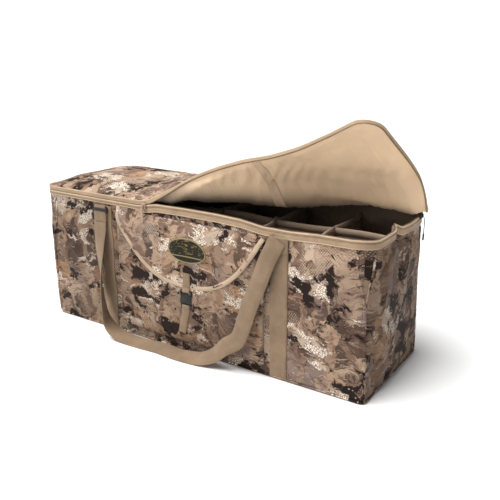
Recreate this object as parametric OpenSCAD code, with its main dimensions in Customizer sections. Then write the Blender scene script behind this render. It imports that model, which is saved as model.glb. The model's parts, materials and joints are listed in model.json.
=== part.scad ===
// Soft-sided decoy bag with twelve padded slots, a zipped lid that folds back from one corner,
// a front pocket with a buckled flap, and two webbing carry handles.
// The origin is on the floor under the middle of the bag: +X to the right end, -Y to the front.

/* [Bag] */
// Length of the bag
bag_l = 1070; // [900:10:1300]
// Depth of the bag from front to back
bag_w = 350; // [300:10:420]
// Height of the fabric walls
wall_h = 406; // [380:1:460]
// Thickness of the padded walls
wall_t = 6; // [4:1:10]
// Radius of the upright corners
corner_r = 40; // [25:5:60]

/* [Slots] */
// Slots along the bag
columns = 6; // [2:1:6]
// Thickness of a padded divider
divider_t = 5; // [3:1:8]
// Height of the top edge of the dividers
divider_top = 385; // [300:5:392]

/* [Lid] */
// Angle by which the free part of the lid is folded back
lid_open = 60; // [0:5:90]
// Rise of the middle of the lid above its seam
lid_crown = 34; // [15:1:45]
// Thickness of the padded lid
lid_t = 6; // [4:1:8]
// Place along the front edge where the lid starts to open
fold_x = -140; // [-300:10:0]
// Half of the gap along the fold line
fold_gap = 10; // [8:1:14]
// Distance over which the lid drops to the fold line
fold_ramp = 80; // [70:5:120]

/* [Zip] */
// Height of the tape on the rim
tape_h = 20; // [14:1:26]
// Height of the tape on the lid
lid_tape_h = 10; // [10:1:16]
// Thickness of the tape
tape_t = 2; // [1:0.5:2.5]
// Height of each row of teeth
chain_h = 4; // [3:0.5:5]
// Length of the front zip pull
front_pull_l = 40; // [30:1:44]
// Length of the end zip pull
end_pull_l = 64; // [40:1:80]

/* [Pocket] */
// Width of the front pocket
pocket_w = 500; // [460:2:500]
// Height of the bottom of the pocket
pocket_z = 30; // [20:1:60]
// Distance that the pocket stands off the bag
pocket_d = 8; // [7:0.5:8]
// Half width of the flap at its root
flap_half_w = 253; // [220:1:256]
// Height of the lowest point of the flap
flap_z = 199; // [190:1:215]
// Exponent of the curved edge of the flap
flap_power = 2.5; // [2:0.1:3.5]
// Width of the flap's binding
binding_w = 8; // [6:1:10]

/* [Webbing] */
// Width of the wide webbing
web_w = 50; // [38:1:50]
// Thickness of the webbing
web_t = 2; // [1.5:0.5:2]
// Distance of the webbing bands from the middle of the bag
band_x = 296; // [292:1:310]
// Radius of the left bend of a handle
bend_left_r = 85; // [60:5:100]
// Radius of the right bend of a handle
bend_right_r = 120; // [80:5:140]

/* [Buckle] */
// Width of the narrow webbing
strap_w = 25; // [20:1:25]
// Width of the buckle
buckle_w = 40; // [34:1:44]
// Length of the buckle's socket
buckle_l = 42; // [38:1:44]

/* [Hidden] */

$fn = 48;
camo = [0.50, 0.40, 0.31];
tan = [0.68, 0.56, 0.40];
lining_tan = [0.60, 0.48, 0.34];
padding = [0.55, 0.45, 0.38];
black = [0.10, 0.10, 0.10];
olive = [0.22, 0.20, 0.09];

half_l = bag_l / 2;
half_w = bag_w / 2;
bottom_t = 3;
board_t = 5;
floor_z = bottom_t + board_t;
lining_t = 1;
lining_drop = 4;
soft_gap = 0.3;
inner_half_l = half_l - wall_t - lining_t - soft_gap;
inner_half_w = half_w - wall_t - lining_t - soft_gap;
slot_pitch = bag_l / columns;

chain_t = 3;
chain_gap = 0.5;
rim_z = wall_h + chain_h;
lid_z = rim_z + chain_gap;
seam_z = lid_z + lid_tape_h;
lid_lining_t = 1.5;
lid_axis_z = seam_z - lid_t / 2;
fold_dx = half_l - fold_x;
fold_angle = atan2(bag_w, fold_dx);
cells_x = 40;
cells_y = 16;
inner_strap_x = 190;
inner_strap_t = 1.5;

slider_w = 14;
slider_d = 11;
slider_body_d = 5;
slider_h = 18;
stem_w = 4;
stem_h = 8;
overlap = 1;
slider_gap = 1;
slider_y = -half_w - tape_t - slider_gap;
end_slider_y = half_w - 45;
pull_t = 2;
pull_w = 8;
pull_gap = 1;
pull_z = rim_z - 2;
end_slider_x = half_l + tape_t + slider_gap;

cloth_t = 2;
pocket_top_z = 366;
flap_t = 2.5;
flap_y = -half_w - pocket_d - cloth_t - 2.5;
flap_root_z = 352;
flap_root_gap = 2;
brow_z = 368;
brow_drop = 1;
patch_z = 309;
patch_x = 14;
patch_w = 126;
patch_h = 66;
patch_t = 1.5;
patch_border_w = 4;
edge_rise = 0.5;
tab_x = 8;
tab_top_z = 242;
tab_gap = 1;
tab_tuck = 2.5;
flap_face_y = flap_y - flap_t / 2;

buckle_z = flap_z - 4;
buckle_wall = 2;
buckle_rib_d = 5;
buckle_rib_w = 3;
buckle_rib_z = 8;
buckle_bar_drop = 6;
buckle_face_y = flap_y - 8;
male_bar_h = 13;
male_bar_w = 4;
prong_x = 12;
prong_d = 4;
prong_w = 6;
prong_l = 28;
tail_bottom_z = 66;
anchor_strap_z = 86;
anchor_strap_h = 60;

handle_gap = 6;
handle_y = -half_w - handle_gap;
handle_top_z = 386;
handle_lean = 46;
handle_low_z = 29;
handle_left_top = -311;
handle_left_low = -297;
handle_right_low = 160;
handle_right_top = 296;
handle_t = 3;
handle_ring_drop = 16;
ring_w = 58;
ring_bar_r = 2;
ring_side_t = 3;
anchor_hole_r = 2.4;
anchor_r = 4;
anchor_half_w = 24;
anchor_plate_h = 24;
band_z = 2;

// Plan shapes

module rounded_plan(grow) {
    hw = half_l + grow;
    hd = half_w + grow;
    r = corner_r + grow;
    square([2 * hw, 2 * (hd - r)], center = true);
    square([2 * (hw - r), 2 * hd], center = true);
    for (sx = [-1, 1], sy = [-1, 1])
        translate([sx * (hw - r), sy * (hd - r)]) circle(r);
}

module plan_ring(outside, inside) {
    difference() {
        rounded_plan(outside);
        rounded_plan(inside);
    }
}

// The part of the plan in front of the fold line, or behind it
module fold_side(in_front) {
    translate([fold_x, -half_w]) rotate(fold_angle)
        translate([-bag_l, in_front ? -fold_gap - bag_w * 2 : fold_gap])
            square([bag_l * 2.5, bag_w * 2]);
}

// Everything but the back edge, which has a hinge binding in place of the zip
module zip_reach() {
    translate([-bag_l, -bag_w]) square([2 * bag_l, bag_w + half_w - corner_r]);
}

module lid_swing(angle) {
    translate([fold_x, -half_w, lid_axis_z])
        rotate(a = angle, v = [-fold_dx, -bag_w, 0])
            translate([-fold_x, half_w, -lid_axis_z]) children();
}

function smooth(t) = let (c = min(max(t, 0), 1)) c * c * (3 - 2 * c);
function fold_distance(x, y) =
    abs((x - fold_x) * sin(fold_angle) - (y + half_w) * cos(fold_angle));
function crown(x, y) =
    lid_crown * (1 - pow(abs(x) / half_l, 6)) * (1 - pow(abs(y) / half_w, 4))
    * smooth((fold_distance(x, y) - fold_gap) / fold_ramp);

// A sheet that follows the crown of the lid, between two distances from its top face
module crowned_sheet(upper, lower) {
    row = cells_x + 1;
    count = row * (cells_y + 1);
    step_x = bag_l / cells_x;
    step_y = bag_w / cells_y;
    function px(i) = -half_l + i * step_x;
    function py(j) = -half_w + j * step_y;
    top = [for (j = [0 : cells_y], i = [0 : cells_x])
        [px(i), py(j), seam_z + crown(px(i), py(j)) - upper]];
    low = [for (p = top) [p[0], p[1], p[2] + upper - lower]];
    up_faces = [for (j = [0 : cells_y - 1], i = [0 : cells_x - 1]) let (a = j * row + i)
        each [[a, a + row, a + row + 1], [a, a + row + 1, a + 1]]];
    low_faces = [for (f = up_faces) [f[2] + count, f[1] + count, f[0] + count]];
    front_faces = [for (i = [0 : cells_x - 1]) [i, i + 1, i + 1 + count, i + count]];
    back = cells_y * row;
    back_faces = [for (i = [0 : cells_x - 1])
        [back + i + 1, back + i, back + i + count, back + i + 1 + count]];
    left_faces = [for (j = [0 : cells_y - 1])
        [(j + 1) * row, j * row, j * row + count, (j + 1) * row + count]];
    right_faces = [for (j = [0 : cells_y - 1]) let (a = j * row + cells_x)
        [a, a + row, a + row + count, a + count]];
    polyhedron(concat(top, low),
        concat(up_faces, low_faces, front_faces, back_faces, left_faces, right_faces));
}

module lid_sheet(in_front, upper, lower, inset) {
    intersection() {
        crowned_sheet(upper, lower);
        linear_extrude(seam_z + lid_crown + overlap) intersection() {
            rounded_plan(-inset);
            fold_side(in_front);
        }
    }
}

module lid_tape(in_front) {
    translate([0, 0, lid_z]) linear_extrude(lid_tape_h + overlap) intersection() {
        plan_ring(tape_t, 0);
        fold_side(in_front);
        zip_reach();
    }
}

module lid_chain(in_front) {
    translate([0, 0, lid_z]) linear_extrude(chain_h) intersection() {
        plan_ring(0, -chain_t);
        fold_side(in_front);
        zip_reach();
    }
}

// Body of the bag

module bottom_panel() {
    color(camo) linear_extrude(bottom_t) rounded_plan(0);
}

module base_board() {
    color(black) translate([0, 0, bottom_t]) linear_extrude(board_t) rounded_plan(-wall_t);
}

module side_panel(side) {
    color(camo)
        translate([-half_l + corner_r, side < 0 ? -half_w : half_w - wall_t, bottom_t])
            cube([bag_l - 2 * corner_r, wall_t, wall_h - bottom_t]);
}

module end_panel(side) {
    color(camo) translate([0, 0, bottom_t]) linear_extrude(wall_h - bottom_t)
        intersection() {
            plan_ring(0, -wall_t);
            translate([side * (half_l - corner_r / 2), 0])
                square([corner_r, bag_w + 2 * overlap], center = true);
        }
}

module inner_lining() {
    color(lining_tan) translate([0, 0, floor_z]) linear_extrude(wall_h - floor_z - lining_drop)
        plan_ring(-wall_t, -wall_t - lining_t);
}

module long_divider() {
    color(padding)
        translate([-inner_half_l, -divider_t / 2, floor_z])
            cube([2 * inner_half_l, divider_t, divider_top - floor_z]);
}

module cross_divider(index, side) {
    depth = inner_half_w - divider_t / 2;
    y = side < 0 ? -inner_half_w : divider_t / 2;
    color(padding)
        translate([-half_l + index * slot_pitch - divider_t / 2, y, floor_z])
            cube([divider_t, depth, divider_top - floor_z]);
}

module rim_zip_tape() {
    color(tan) translate([0, 0, wall_h - tape_h]) linear_extrude(tape_h)
        intersection() {
            plan_ring(tape_t, 0);
            zip_reach();
        }
}

module rim_zip_chain() {
    color(black) translate([0, 0, wall_h]) linear_extrude(chain_h) intersection() {
        plan_ring(0, -chain_t);
        zip_reach();
    }
}

module rear_hinge_binding() {
    color(tan)
        translate([-half_l + corner_r, half_w, wall_h - tape_h / 2])
            cube([bag_l - 2 * corner_r - 2 * fold_gap, tape_t, seam_z - wall_h + tape_h / 2]);
}

module band(side_x, side_y) {
    color(tan)
        translate([side_x * band_x - web_w / 2, side_y < 0 ? -half_w - web_t : half_w, band_z])
            cube([web_w, web_t, wall_h - tape_h - band_z - soft_gap]);
}

// Lid

module lid_fixed_panel() {
    color(camo) lid_sheet(false, 0, lid_t, 0);
}

module lid_fixed_lining() {
    color(lining_tan) lid_sheet(false, lid_t, lid_t + lid_lining_t, chain_t);
}

module lid_fixed_zip_tape() {
    color(tan) lid_tape(false);
}

module lid_fixed_zip_chain() {
    color(black) lid_chain(false);
}

module lid_flap_panel() {
    color(camo) lid_swing(lid_open) lid_sheet(true, 0, lid_t, 0);
}

module lid_flap_lining() {
    color(lining_tan) lid_swing(lid_open) lid_sheet(true, lid_t, lid_t + lid_lining_t, chain_t);
}

module lid_flap_zip_tape() {
    color(tan) lid_swing(lid_open) lid_tape(true);
}

module lid_flap_zip_chain() {
    color(black) lid_swing(lid_open) lid_chain(true);
}

module lid_inner_strap() {
    color(tan) lid_swing(lid_open) intersection() {
        crowned_sheet(lid_t + lid_lining_t, lid_t + lid_lining_t + inner_strap_t);
        linear_extrude(seam_z + lid_crown) intersection() {
            rounded_plan(-2 * chain_t);
            fold_side(true);
            translate([inner_strap_x - strap_w / 2, -half_w]) square([strap_w, bag_w]);
        }
    }
}

// Front pocket and its flap

module pocket_gusset() {
    height = pocket_top_z - pocket_z;
    color(camo) translate([0, -half_w, pocket_z]) rotate([90, 0, 0])
        linear_extrude(pocket_d) difference() {
            translate([-pocket_w / 2, 0]) square([pocket_w, height]);
            translate([-pocket_w / 2 + cloth_t, cloth_t])
                square([pocket_w - 2 * cloth_t, height]);
        }
}

module pocket_panel() {
    color(camo)
        translate([-pocket_w / 2, -half_w - pocket_d - cloth_t, pocket_z])
            cube([pocket_w, cloth_t, pocket_top_z - pocket_z]);
}

module flap_root() {
    seam = wall_h - tape_h - soft_gap;
    lip = flap_root_z + flap_root_gap;
    front = flap_y - flap_t / 2;
    color(camo) translate([-flap_half_w, 0, 0]) rotate([90, 0, 90])
        linear_extrude(2 * flap_half_w) polygon([
            [-half_w, seam], [front, brow_z], [front, lip],
            [front + flap_t, lip], [front + flap_t, brow_z - brow_drop], [-half_w, seam - flap_t]
        ]);
}

function flap_edge(x) =
    flap_z + (flap_root_z - flap_z) * pow(abs(x) / flap_half_w, flap_power);
flap_steps = 24;
binding_gap = 1;
flap_line = [for (i = [0 : flap_steps]) let (x = flap_half_w * (2 * i / flap_steps - 1))
    [x, flap_edge(x)]];
flap_inner_line = [for (i = [0 : flap_steps]) line_side(flap_line, i, binding_w)];

module below_root(gap) {
    intersection() {
        children();
        translate([-flap_half_w, flap_z - overlap])
            square([2 * flap_half_w, flap_root_z - gap - flap_z + overlap]);
    }
}

module flap_panel() {
    panel_half = flap_half_w - binding_w;
    top = [[panel_half, flap_root_z + binding_w], [-panel_half, flap_root_z + binding_w]];
    color(camo) translate([0, flap_y + flap_t / 2, 0]) rotate([90, 0, 0])
        linear_extrude(flap_t) below_root(0) polygon(concat(flap_inner_line, top));
}

module flap_binding() {
    inner = [for (i = [flap_steps : -1 : 0]) flap_inner_line[i]];
    color(tan) translate([0, flap_y + flap_t / 2 + edge_rise, 0]) rotate([90, 0, 0])
        linear_extrude(flap_t + 2 * edge_rise) below_root(binding_gap) polygon(concat(flap_line, inner));
}

module patch_plate(inset, thick) {
    translate([patch_x, flap_face_y, patch_z]) rotate([90, 0, 0]) linear_extrude(thick)
        resize([patch_w - 2 * inset, patch_h - 2 * inset]) circle(patch_w / 2);
}

module oval_patch() {
    color(olive) patch_plate(patch_border_w, patch_t);
}

module patch_border() {
    color(tan) difference() {
        patch_plate(0, patch_t + edge_rise);
        translate([0, overlap, 0]) patch_plate(patch_border_w, patch_t + 2 * overlap);
    }
}

module flap_tab_webbing() {
    color(tan)
        translate([tab_x - strap_w / 2, flap_face_y - tab_gap - web_t, buckle_z - tab_tuck])
            cube([strap_w, web_t, tab_top_z - buckle_z + tab_tuck]);
}

// The socket is a channel that is open behind, so the flap lifts away from the plug
module buckle_female() {
    half = buckle_w / 2;
    bottom = buckle_z - buckle_l;
    color(black) translate([tab_x, buckle_face_y, bottom]) {
        translate([-half, 0, 0]) cube([buckle_w, buckle_wall, buckle_l]);
        for (x = [-half, half - buckle_rib_w])
            translate([x, buckle_wall, buckle_rib_z])
                cube([buckle_rib_w, buckle_rib_d, buckle_l - buckle_rib_z]);
        translate([-half, buckle_wall, buckle_l - buckle_bar_drop])
            cube([buckle_w, buckle_rib_d, buckle_rib_w]);
    }
}

// A bar across the plug
module plug_bar(z, h) {
    translate([-buckle_w / 2, 0, z]) cube([buckle_w, buckle_rib_d, h]);
}

module buckle_male() {
    half = buckle_w / 2;
    top = buckle_z - buckle_l;
    y = buckle_face_y + buckle_wall + soft_gap;
    color(black) translate([tab_x, y, top - male_bar_h]) {
        plug_bar(0, male_bar_w);
        plug_bar(male_bar_h - male_bar_w, male_bar_w - soft_gap);
        for (x = [-half, half - male_bar_w])
            translate([x, 0, 0]) cube([male_bar_w, buckle_rib_d, male_bar_h - soft_gap]);
        for (side = [-1, 1])
            translate([side * prong_x - prong_w / 2, 0, male_bar_h - overlap])
                cube([prong_w, prong_d, prong_l]);
        translate([-male_bar_w / 2, 0, male_bar_h - overlap])
            cube([male_bar_w, prong_d, prong_l - prong_w]);
    }
}

module buckle_tail() {
    bar_z = buckle_z - buckle_l - male_bar_h;
    y = buckle_face_y + buckle_wall + soft_gap;
    color(tan) {
        translate([tab_x - strap_w / 2, y - web_t, tail_bottom_z])
            cube([strap_w, web_t, bar_z + 2 * male_bar_w - tail_bottom_z]);
        translate([tab_x - strap_w / 2, y - web_t, bar_z + male_bar_w + soft_gap])
            cube([strap_w, web_t + prong_d, male_bar_h - 2 * male_bar_w - overlap]);
    }
}

module anchor_webbing() {
    color(tan)
        translate([tab_x - strap_w / 2, -half_w - pocket_d - cloth_t - web_t, anchor_strap_z])
            cube([strap_w, web_t, anchor_strap_h]);
}

// Carry handles

bend_steps = 10;

// Points of the middle line of a handle, seen from the front, with rounded lower bends
function bend(corner, before, after, r) =
    let (
        into = (corner - before) / norm(corner - before),
        out = (after - corner) / norm(after - corner),
        turn = acos(into * out),
        cut = r * tan(turn / 2),
        start = corner - into * cut,
        side = [-into[1], into[0]],
        sense = sign(side * out),
        centre = start + side * sense * r,
        first = atan2(start[1] - centre[1], start[0] - centre[0])
    )
    [for (i = [0 : bend_steps]) let (a = first + sense * turn * i / bend_steps)
        centre + r * [cos(a), sin(a)]];

handle_corners = [
    [handle_left_top, handle_top_z - handle_ring_drop - 2 * ring_bar_r], [handle_left_low, handle_low_z],
    [handle_right_low, handle_low_z], [handle_right_top, handle_top_z]
];
handle_line = concat(
    [handle_corners[0]],
    bend(handle_corners[1], handle_corners[0], handle_corners[2], bend_left_r),
    bend(handle_corners[2], handle_corners[1], handle_corners[3], bend_right_r),
    [handle_corners[3]]
);

function line_side(line, i, distance) =
    let (
        last = len(line) - 1,
        along = line[min(i + 1, last)] - line[max(i - 1, 0)],
        unit = along / norm(along)
    )
    line[i] + distance * [-unit[1], unit[0]];

// The whole loop leans away from the bag, so that its lower run stands on the floor
module handle_pose() {
    lean = atan2(handle_lean, handle_top_z);
    translate([0, handle_y, handle_top_z]) rotate([-lean, 0, 0])
        translate([0, 0, -handle_top_z]) children();
}

module handle_webbing() {
    last = len(handle_line) - 1;
    outline = concat(
        [for (i = [0 : last]) line_side(handle_line, i, web_w / 2)],
        [for (i = [last : -1 : 0]) line_side(handle_line, i, -web_w / 2)]
    );
    handle_pose() translate([0, handle_t / 2, 0]) rotate([90, 0, 0])
        linear_extrude(handle_t) intersection() {
            polygon(outline);
            translate([-half_l, 0]) square([bag_l, handle_top_z]);
        }
}

// Rectangular ring that hangs in a loop of the band and carries the left leg of a handle
module handle_ring() {
    handle_pose() translate([handle_left_top - ring_w / 2, 0, 0]) {
        for (z = [handle_top_z, handle_top_z - handle_ring_drop])
            translate([0, 0, z]) rotate([0, 90, 0]) cylinder(h = ring_w, r = ring_bar_r);
        for (x = [0, ring_w - ring_side_t])
            translate([x, -ring_bar_r, handle_top_z - handle_ring_drop])
                cube([ring_side_t, 2 * ring_bar_r, handle_ring_drop]);
    }
}

// Webbing loop that holds the ring, and the sewn pad behind the right leg of a handle
module handle_anchors() {
    plate_z = wall_h - tape_h - soft_gap - anchor_plate_h;
    wall_y = -half_w - web_t;
    color(tan) {
        difference() {
            union() {
                translate([handle_left_top - anchor_half_w, handle_y, handle_top_z])
                    rotate([0, 90, 0]) cylinder(h = 2 * anchor_half_w, r = anchor_r);
                translate([handle_left_top - anchor_half_w, wall_y - soft_gap, plate_z])
                    cube([2 * anchor_half_w, soft_gap, handle_top_z - plate_z]);
            }
            translate([handle_left_top - web_w, handle_y, handle_top_z])
                rotate([0, 90, 0]) cylinder(h = 2 * web_w, r = anchor_hole_r);
        }
        translate([handle_right_top - web_w / 2, wall_y - web_t, plate_z])
            cube([web_w, web_t, anchor_plate_h]);
    }
}

// Zip sliders and pulls

module front_zip_slider() {
    color(tan) {
        translate([fold_x - slider_w / 2, slider_y - slider_body_d, rim_z - slider_h / 2])
            cube([slider_w, slider_body_d, slider_h]);
        translate([fold_x - stem_w / 2, slider_y - slider_d, rim_z - stem_h / 2])
            cube([stem_w, slider_d - slider_body_d + overlap, stem_h]);
    }
}

module front_zip_pull() {
    y = slider_y - slider_d - pull_gap - pull_t;
    color(tan)
        translate([fold_x - pull_w / 2, y, pull_z - front_pull_l])
            cube([pull_w, pull_t, front_pull_l]);
}

module end_zip_slider() {
    color(black) {
        translate([end_slider_x, end_slider_y - slider_w / 2, rim_z - slider_h / 2])
            cube([slider_body_d, slider_w, slider_h]);
        translate([end_slider_x + slider_body_d - overlap, end_slider_y - stem_w / 2,
                   rim_z - stem_h / 2])
            cube([slider_d - slider_body_d + overlap, stem_w, stem_h]);
    }
}

module end_zip_pull() {
    color(black)
        translate([end_slider_x + slider_d + pull_gap, end_slider_y - pull_w / 2,
                   pull_z - end_pull_l])
            cube([pull_t, pull_w, end_pull_l]);
}

bottom_panel();
base_board();
side_panel(-1);  // front_panel
side_panel(1);  // back_panel
end_panel(-1);  // left_end_panel
end_panel(1);  // right_end_panel
inner_lining();
long_divider();
cross_divider(1, -1);  // front_divider_1
cross_divider(2, -1);  // front_divider_2
cross_divider(3, -1);  // front_divider_3
cross_divider(4, -1);  // front_divider_4
cross_divider(5, -1);  // front_divider_5
cross_divider(1, 1);  // rear_divider_1
cross_divider(2, 1);  // rear_divider_2
cross_divider(3, 1);  // rear_divider_3
cross_divider(4, 1);  // rear_divider_4
cross_divider(5, 1);  // rear_divider_5
rim_zip_tape();
rim_zip_chain();
rear_hinge_binding();
lid_fixed_panel();
lid_fixed_lining();
lid_fixed_zip_tape();
lid_fixed_zip_chain();
band(-1, -1);  // front_band_left
band(1, -1);  // front_band_right
band(-1, 1);  // rear_band_left
band(1, 1);  // rear_band_right
handle_anchors();  // front_handle_anchors
mirror([0, 1, 0]) handle_anchors();  // rear_handle_anchors
pocket_gusset();
pocket_panel();
flap_root();
anchor_webbing();
lid_flap_panel();
lid_flap_lining();
lid_flap_zip_tape();
lid_flap_zip_chain();
lid_inner_strap();
color(tan) handle_webbing();  // front_handle_webbing
color(black) handle_ring();  // front_handle_ring
color(tan) mirror([0, 1, 0]) handle_webbing();  // rear_handle_webbing
color(black) mirror([0, 1, 0]) handle_ring();  // rear_handle_ring
flap_panel();
flap_binding();
oval_patch();
patch_border();
flap_tab_webbing();
buckle_female();
buckle_male();
buckle_tail();
front_zip_slider();
front_zip_pull();
end_zip_slider();
end_zip_pull();
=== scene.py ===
"""Looks of the slotted decoy bag: camo shell, folded-back padded lid, tan lining, zips, straps and pocket."""
import itertools
import json
import math

import bmesh
import bpy
import numpy as np
from mathutils import Matrix, Vector, noise
from mathutils.bvhtree import BVHTree
from mathutils.kdtree import KDTree


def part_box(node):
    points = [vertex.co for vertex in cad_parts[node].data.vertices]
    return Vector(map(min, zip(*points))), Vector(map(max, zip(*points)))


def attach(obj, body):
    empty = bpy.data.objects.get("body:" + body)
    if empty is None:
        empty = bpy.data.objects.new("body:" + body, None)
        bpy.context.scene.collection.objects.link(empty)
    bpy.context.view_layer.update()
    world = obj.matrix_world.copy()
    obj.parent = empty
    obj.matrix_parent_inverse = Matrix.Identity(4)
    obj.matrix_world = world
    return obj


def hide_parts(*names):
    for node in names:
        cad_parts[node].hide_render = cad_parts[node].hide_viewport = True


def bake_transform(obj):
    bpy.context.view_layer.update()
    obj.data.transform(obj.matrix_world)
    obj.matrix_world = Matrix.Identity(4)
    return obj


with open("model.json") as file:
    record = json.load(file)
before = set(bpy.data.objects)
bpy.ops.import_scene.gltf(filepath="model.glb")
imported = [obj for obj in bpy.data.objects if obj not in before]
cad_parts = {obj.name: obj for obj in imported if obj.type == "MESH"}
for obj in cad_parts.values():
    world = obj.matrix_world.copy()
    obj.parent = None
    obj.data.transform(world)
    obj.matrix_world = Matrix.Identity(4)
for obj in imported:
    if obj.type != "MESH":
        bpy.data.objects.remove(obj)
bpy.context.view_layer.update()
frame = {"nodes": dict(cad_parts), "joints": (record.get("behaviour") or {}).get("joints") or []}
JOINTS = {joint["name"]: joint for joint in frame["joints"]}

# ---------------------------------------------------------------- sizes, in metres

HALF_L, HALF_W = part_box("bottom_panel")[1].xy
WALL_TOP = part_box("front_panel")[1].z
RIM_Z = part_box("rim_zip_chain")[1].z
SEAM_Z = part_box("lid_fixed_zip_tape")[1].z - 0.001
LID_TAPE_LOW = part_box("lid_fixed_zip_chain")[0].z
LID_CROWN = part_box("lid_fixed_panel")[1].z - SEAM_Z
TAPE_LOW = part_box("rim_zip_tape")[0].z

RIM_RADIUS = 0.055
FOOT_RADIUS = 0.014
TIGHT_CORNER = 0.55
WALL_T = 0.005
TAPE_T = 0.0016
WEB_W = 0.050
WEB_T = 0.0024
STRAP_W = 0.025

FOLD_POINT = Vector(JOINTS["lid_fold"]["pos_m"])
FOLD_AXIS = Vector(JOINTS["lid_fold"]["axis"]).normalized()
UP = Vector((0, 0, 1))
FOLD_FRONT = FOLD_AXIS.cross(UP) * -1
FOLD_ANGLE = math.radians(60)
FOLD_TILT = math.radians(27)
FOLD_START = -0.004
FOLD_END = 0.052

END_SLIDER_LOW, END_SLIDER_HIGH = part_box("end_zip_slider")
END_SLIDER_Y = (END_SLIDER_LOW.y + END_SLIDER_HIGH.y) / 2

POCKET_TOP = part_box("pocket_panel")[1].z
POCKET_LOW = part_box("pocket_panel")[0].z
POCKET_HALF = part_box("pocket_panel")[1].x
POCKET_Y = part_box("pocket_panel")[0].y
FLAP_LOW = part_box("flap_binding")[0].z
FLAP_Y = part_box("flap_panel")[0].y


def smooth(t):
    t = np.clip(t, 0, 1)
    return t * t * (3 - 2 * t)


def hump(value, centre, width):
    return np.exp(-(((value - centre) / width) ** 2))


# ---------------------------------------------------------------- meshes


def add_object(name, data):
    piece = bpy.data.objects.new(name, data)
    bpy.context.scene.collection.objects.link(piece)
    return piece


def make_mesh(name, verts, faces, cloth=None, shade_smooth=True):
    """A mesh object. cloth holds a point's place on the flat cloth, in metres, and becomes its UV map."""
    mesh = bpy.data.meshes.new(name)
    mesh.from_pydata([tuple(v) for v in verts], [], [tuple(int(i) for i in f) for f in faces])
    mesh.update()
    if cloth is not None:
        layer = mesh.uv_layers.new(name="Cloth")
        loops = np.zeros(len(mesh.loops), np.int32)
        mesh.loops.foreach_get("vertex_index", loops)
        layer.data.foreach_set("uv", np.asarray(cloth, float)[loops].ravel())
    mesh.polygons.foreach_set("use_smooth", [shade_smooth] * len(mesh.polygons))
    return add_object(name, mesh)


def grid_faces(rows, cols, wrap=False):
    """Quads of a grid of points. wrap joins the last column to the first."""
    last = cols if wrap else cols - 1
    r, c = np.meshgrid(np.arange(rows - 1), np.arange(last), indexing="ij")
    a = (r * cols + c).ravel()
    b = (r * cols + (c + 1) % cols).ravel()
    return np.stack([a, b, b + cols, a + cols], 1)


def grid_normals(points, wrap=False):
    """Unit normals of a grid of points, from its rows and columns."""
    down = np.gradient(points, axis=0)
    if wrap:
        along = (np.roll(points, -1, axis=1) - np.roll(points, 1, axis=1)) / 2
    else:
        along = np.gradient(points, axis=1)
    normal = np.cross(along, down)
    return normal / np.maximum(np.linalg.norm(normal, axis=2, keepdims=True), 1e-12)


def run_along(points):
    """Distance travelled along a line of points."""
    return np.concatenate([[0], np.cumsum(np.linalg.norm(np.diff(points, axis=0), axis=1))])


def flat_map(first, second):
    """Two coordinates for each point of a grid, from a row and a column of values."""
    return np.stack(np.broadcast_arrays(first, second), 2)


def all_along(path, direction):
    """The same direction at each point of a path."""
    return np.tile(np.asarray(direction, float), (len(path), 1))


def thick_sheet(name, points, thickness, cloth, wrap=False, behind=True):
    """A closed sheet whose outer face goes through a grid of points. It grows against its normals,
    or along them where behind is false."""
    rows, cols, _ = points.shape
    inner = points - grid_normals(points, wrap) * thickness * (1 if behind else -1)
    outer_faces = grid_faces(rows, cols, wrap)
    count = rows * cols
    last_row = count - cols
    edge = []
    for c in range(cols if wrap else cols - 1):
        n = (c + 1) % cols
        edge.append((n, c, c + count, n + count))
        edge.append((last_row + c, last_row + n, last_row + n + count, last_row + c + count))
    if not wrap:
        for a in range(0, last_row, cols):
            b, end = a + cols, cols - 1
            edge.append((a, b, b + count, a + count))
            edge.append((b + end, a + end, a + end + count, b + end + count))
    faces = np.concatenate([outer_faces, outer_faces[:, ::-1] + count, np.array(edge)])
    if not behind:
        faces = faces[:, ::-1]
    verts = np.concatenate([points.reshape(-1, 3), inner.reshape(-1, 3)])
    flat = np.asarray(cloth, float).reshape(-1, 2)
    sheet = make_mesh(name, verts, faces, np.concatenate([flat, flat]))
    face_outwards(sheet)
    return sheet


def sweep(name, path, side, up, section, closed=False):
    """A bar of one cross-section along a path. section holds (side, up) offsets, in order round it."""
    path, side, up = (np.asarray(a, float) for a in (path, side, up))
    section = np.asarray(section, float)
    count, ring = len(path), len(section)
    verts = path[:, None] + side[:, None] * section[None, :, :1] + up[:, None] * section[None, :, 1:]
    cloth = flat_map(run_along(path)[:, None], run_along(section)[None, :])
    faces = [list(f) for f in grid_faces(count, ring, wrap=True)]
    if closed:
        last = (count - 1) * ring
        faces += [[last + i, last + (i + 1) % ring, (i + 1) % ring, i] for i in range(ring)]
    else:
        faces.append(list(range(ring)))
        faces.append([(count - 1) * ring + i for i in reversed(range(ring))])
    piece = make_mesh(name, verts.reshape(-1, 3), faces, cloth.reshape(-1, 2))
    face_outwards(piece)
    return piece


def face_outwards(piece):
    """Turns every face of a closed mesh outwards."""
    work = bmesh.new()
    work.from_mesh(piece.data)
    bmesh.ops.recalc_face_normals(work, faces=work.faces)
    work.to_mesh(piece.data)
    work.free()


def flat_section(width, thickness, corner=0.35):
    """Cross-section of webbing: a strip with softly rounded edges."""
    a, b = width / 2, thickness / 2
    cut = thickness * corner
    return [(-a, -b + cut), (-a + cut, -b), (-a / 3, -b), (a / 3, -b), (a - cut, -b), (a, -b + cut),
            (a, b - cut), (a - cut, b), (a / 3, b), (-a / 3, b), (-a + cut, b), (-a, b - cut)]


def round_section(radius, sides=10, flat=1.0):
    angles = np.arange(sides) * math.tau / sides
    return np.stack([radius * np.cos(angles), radius * flat * np.sin(angles)], 1)


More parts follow.
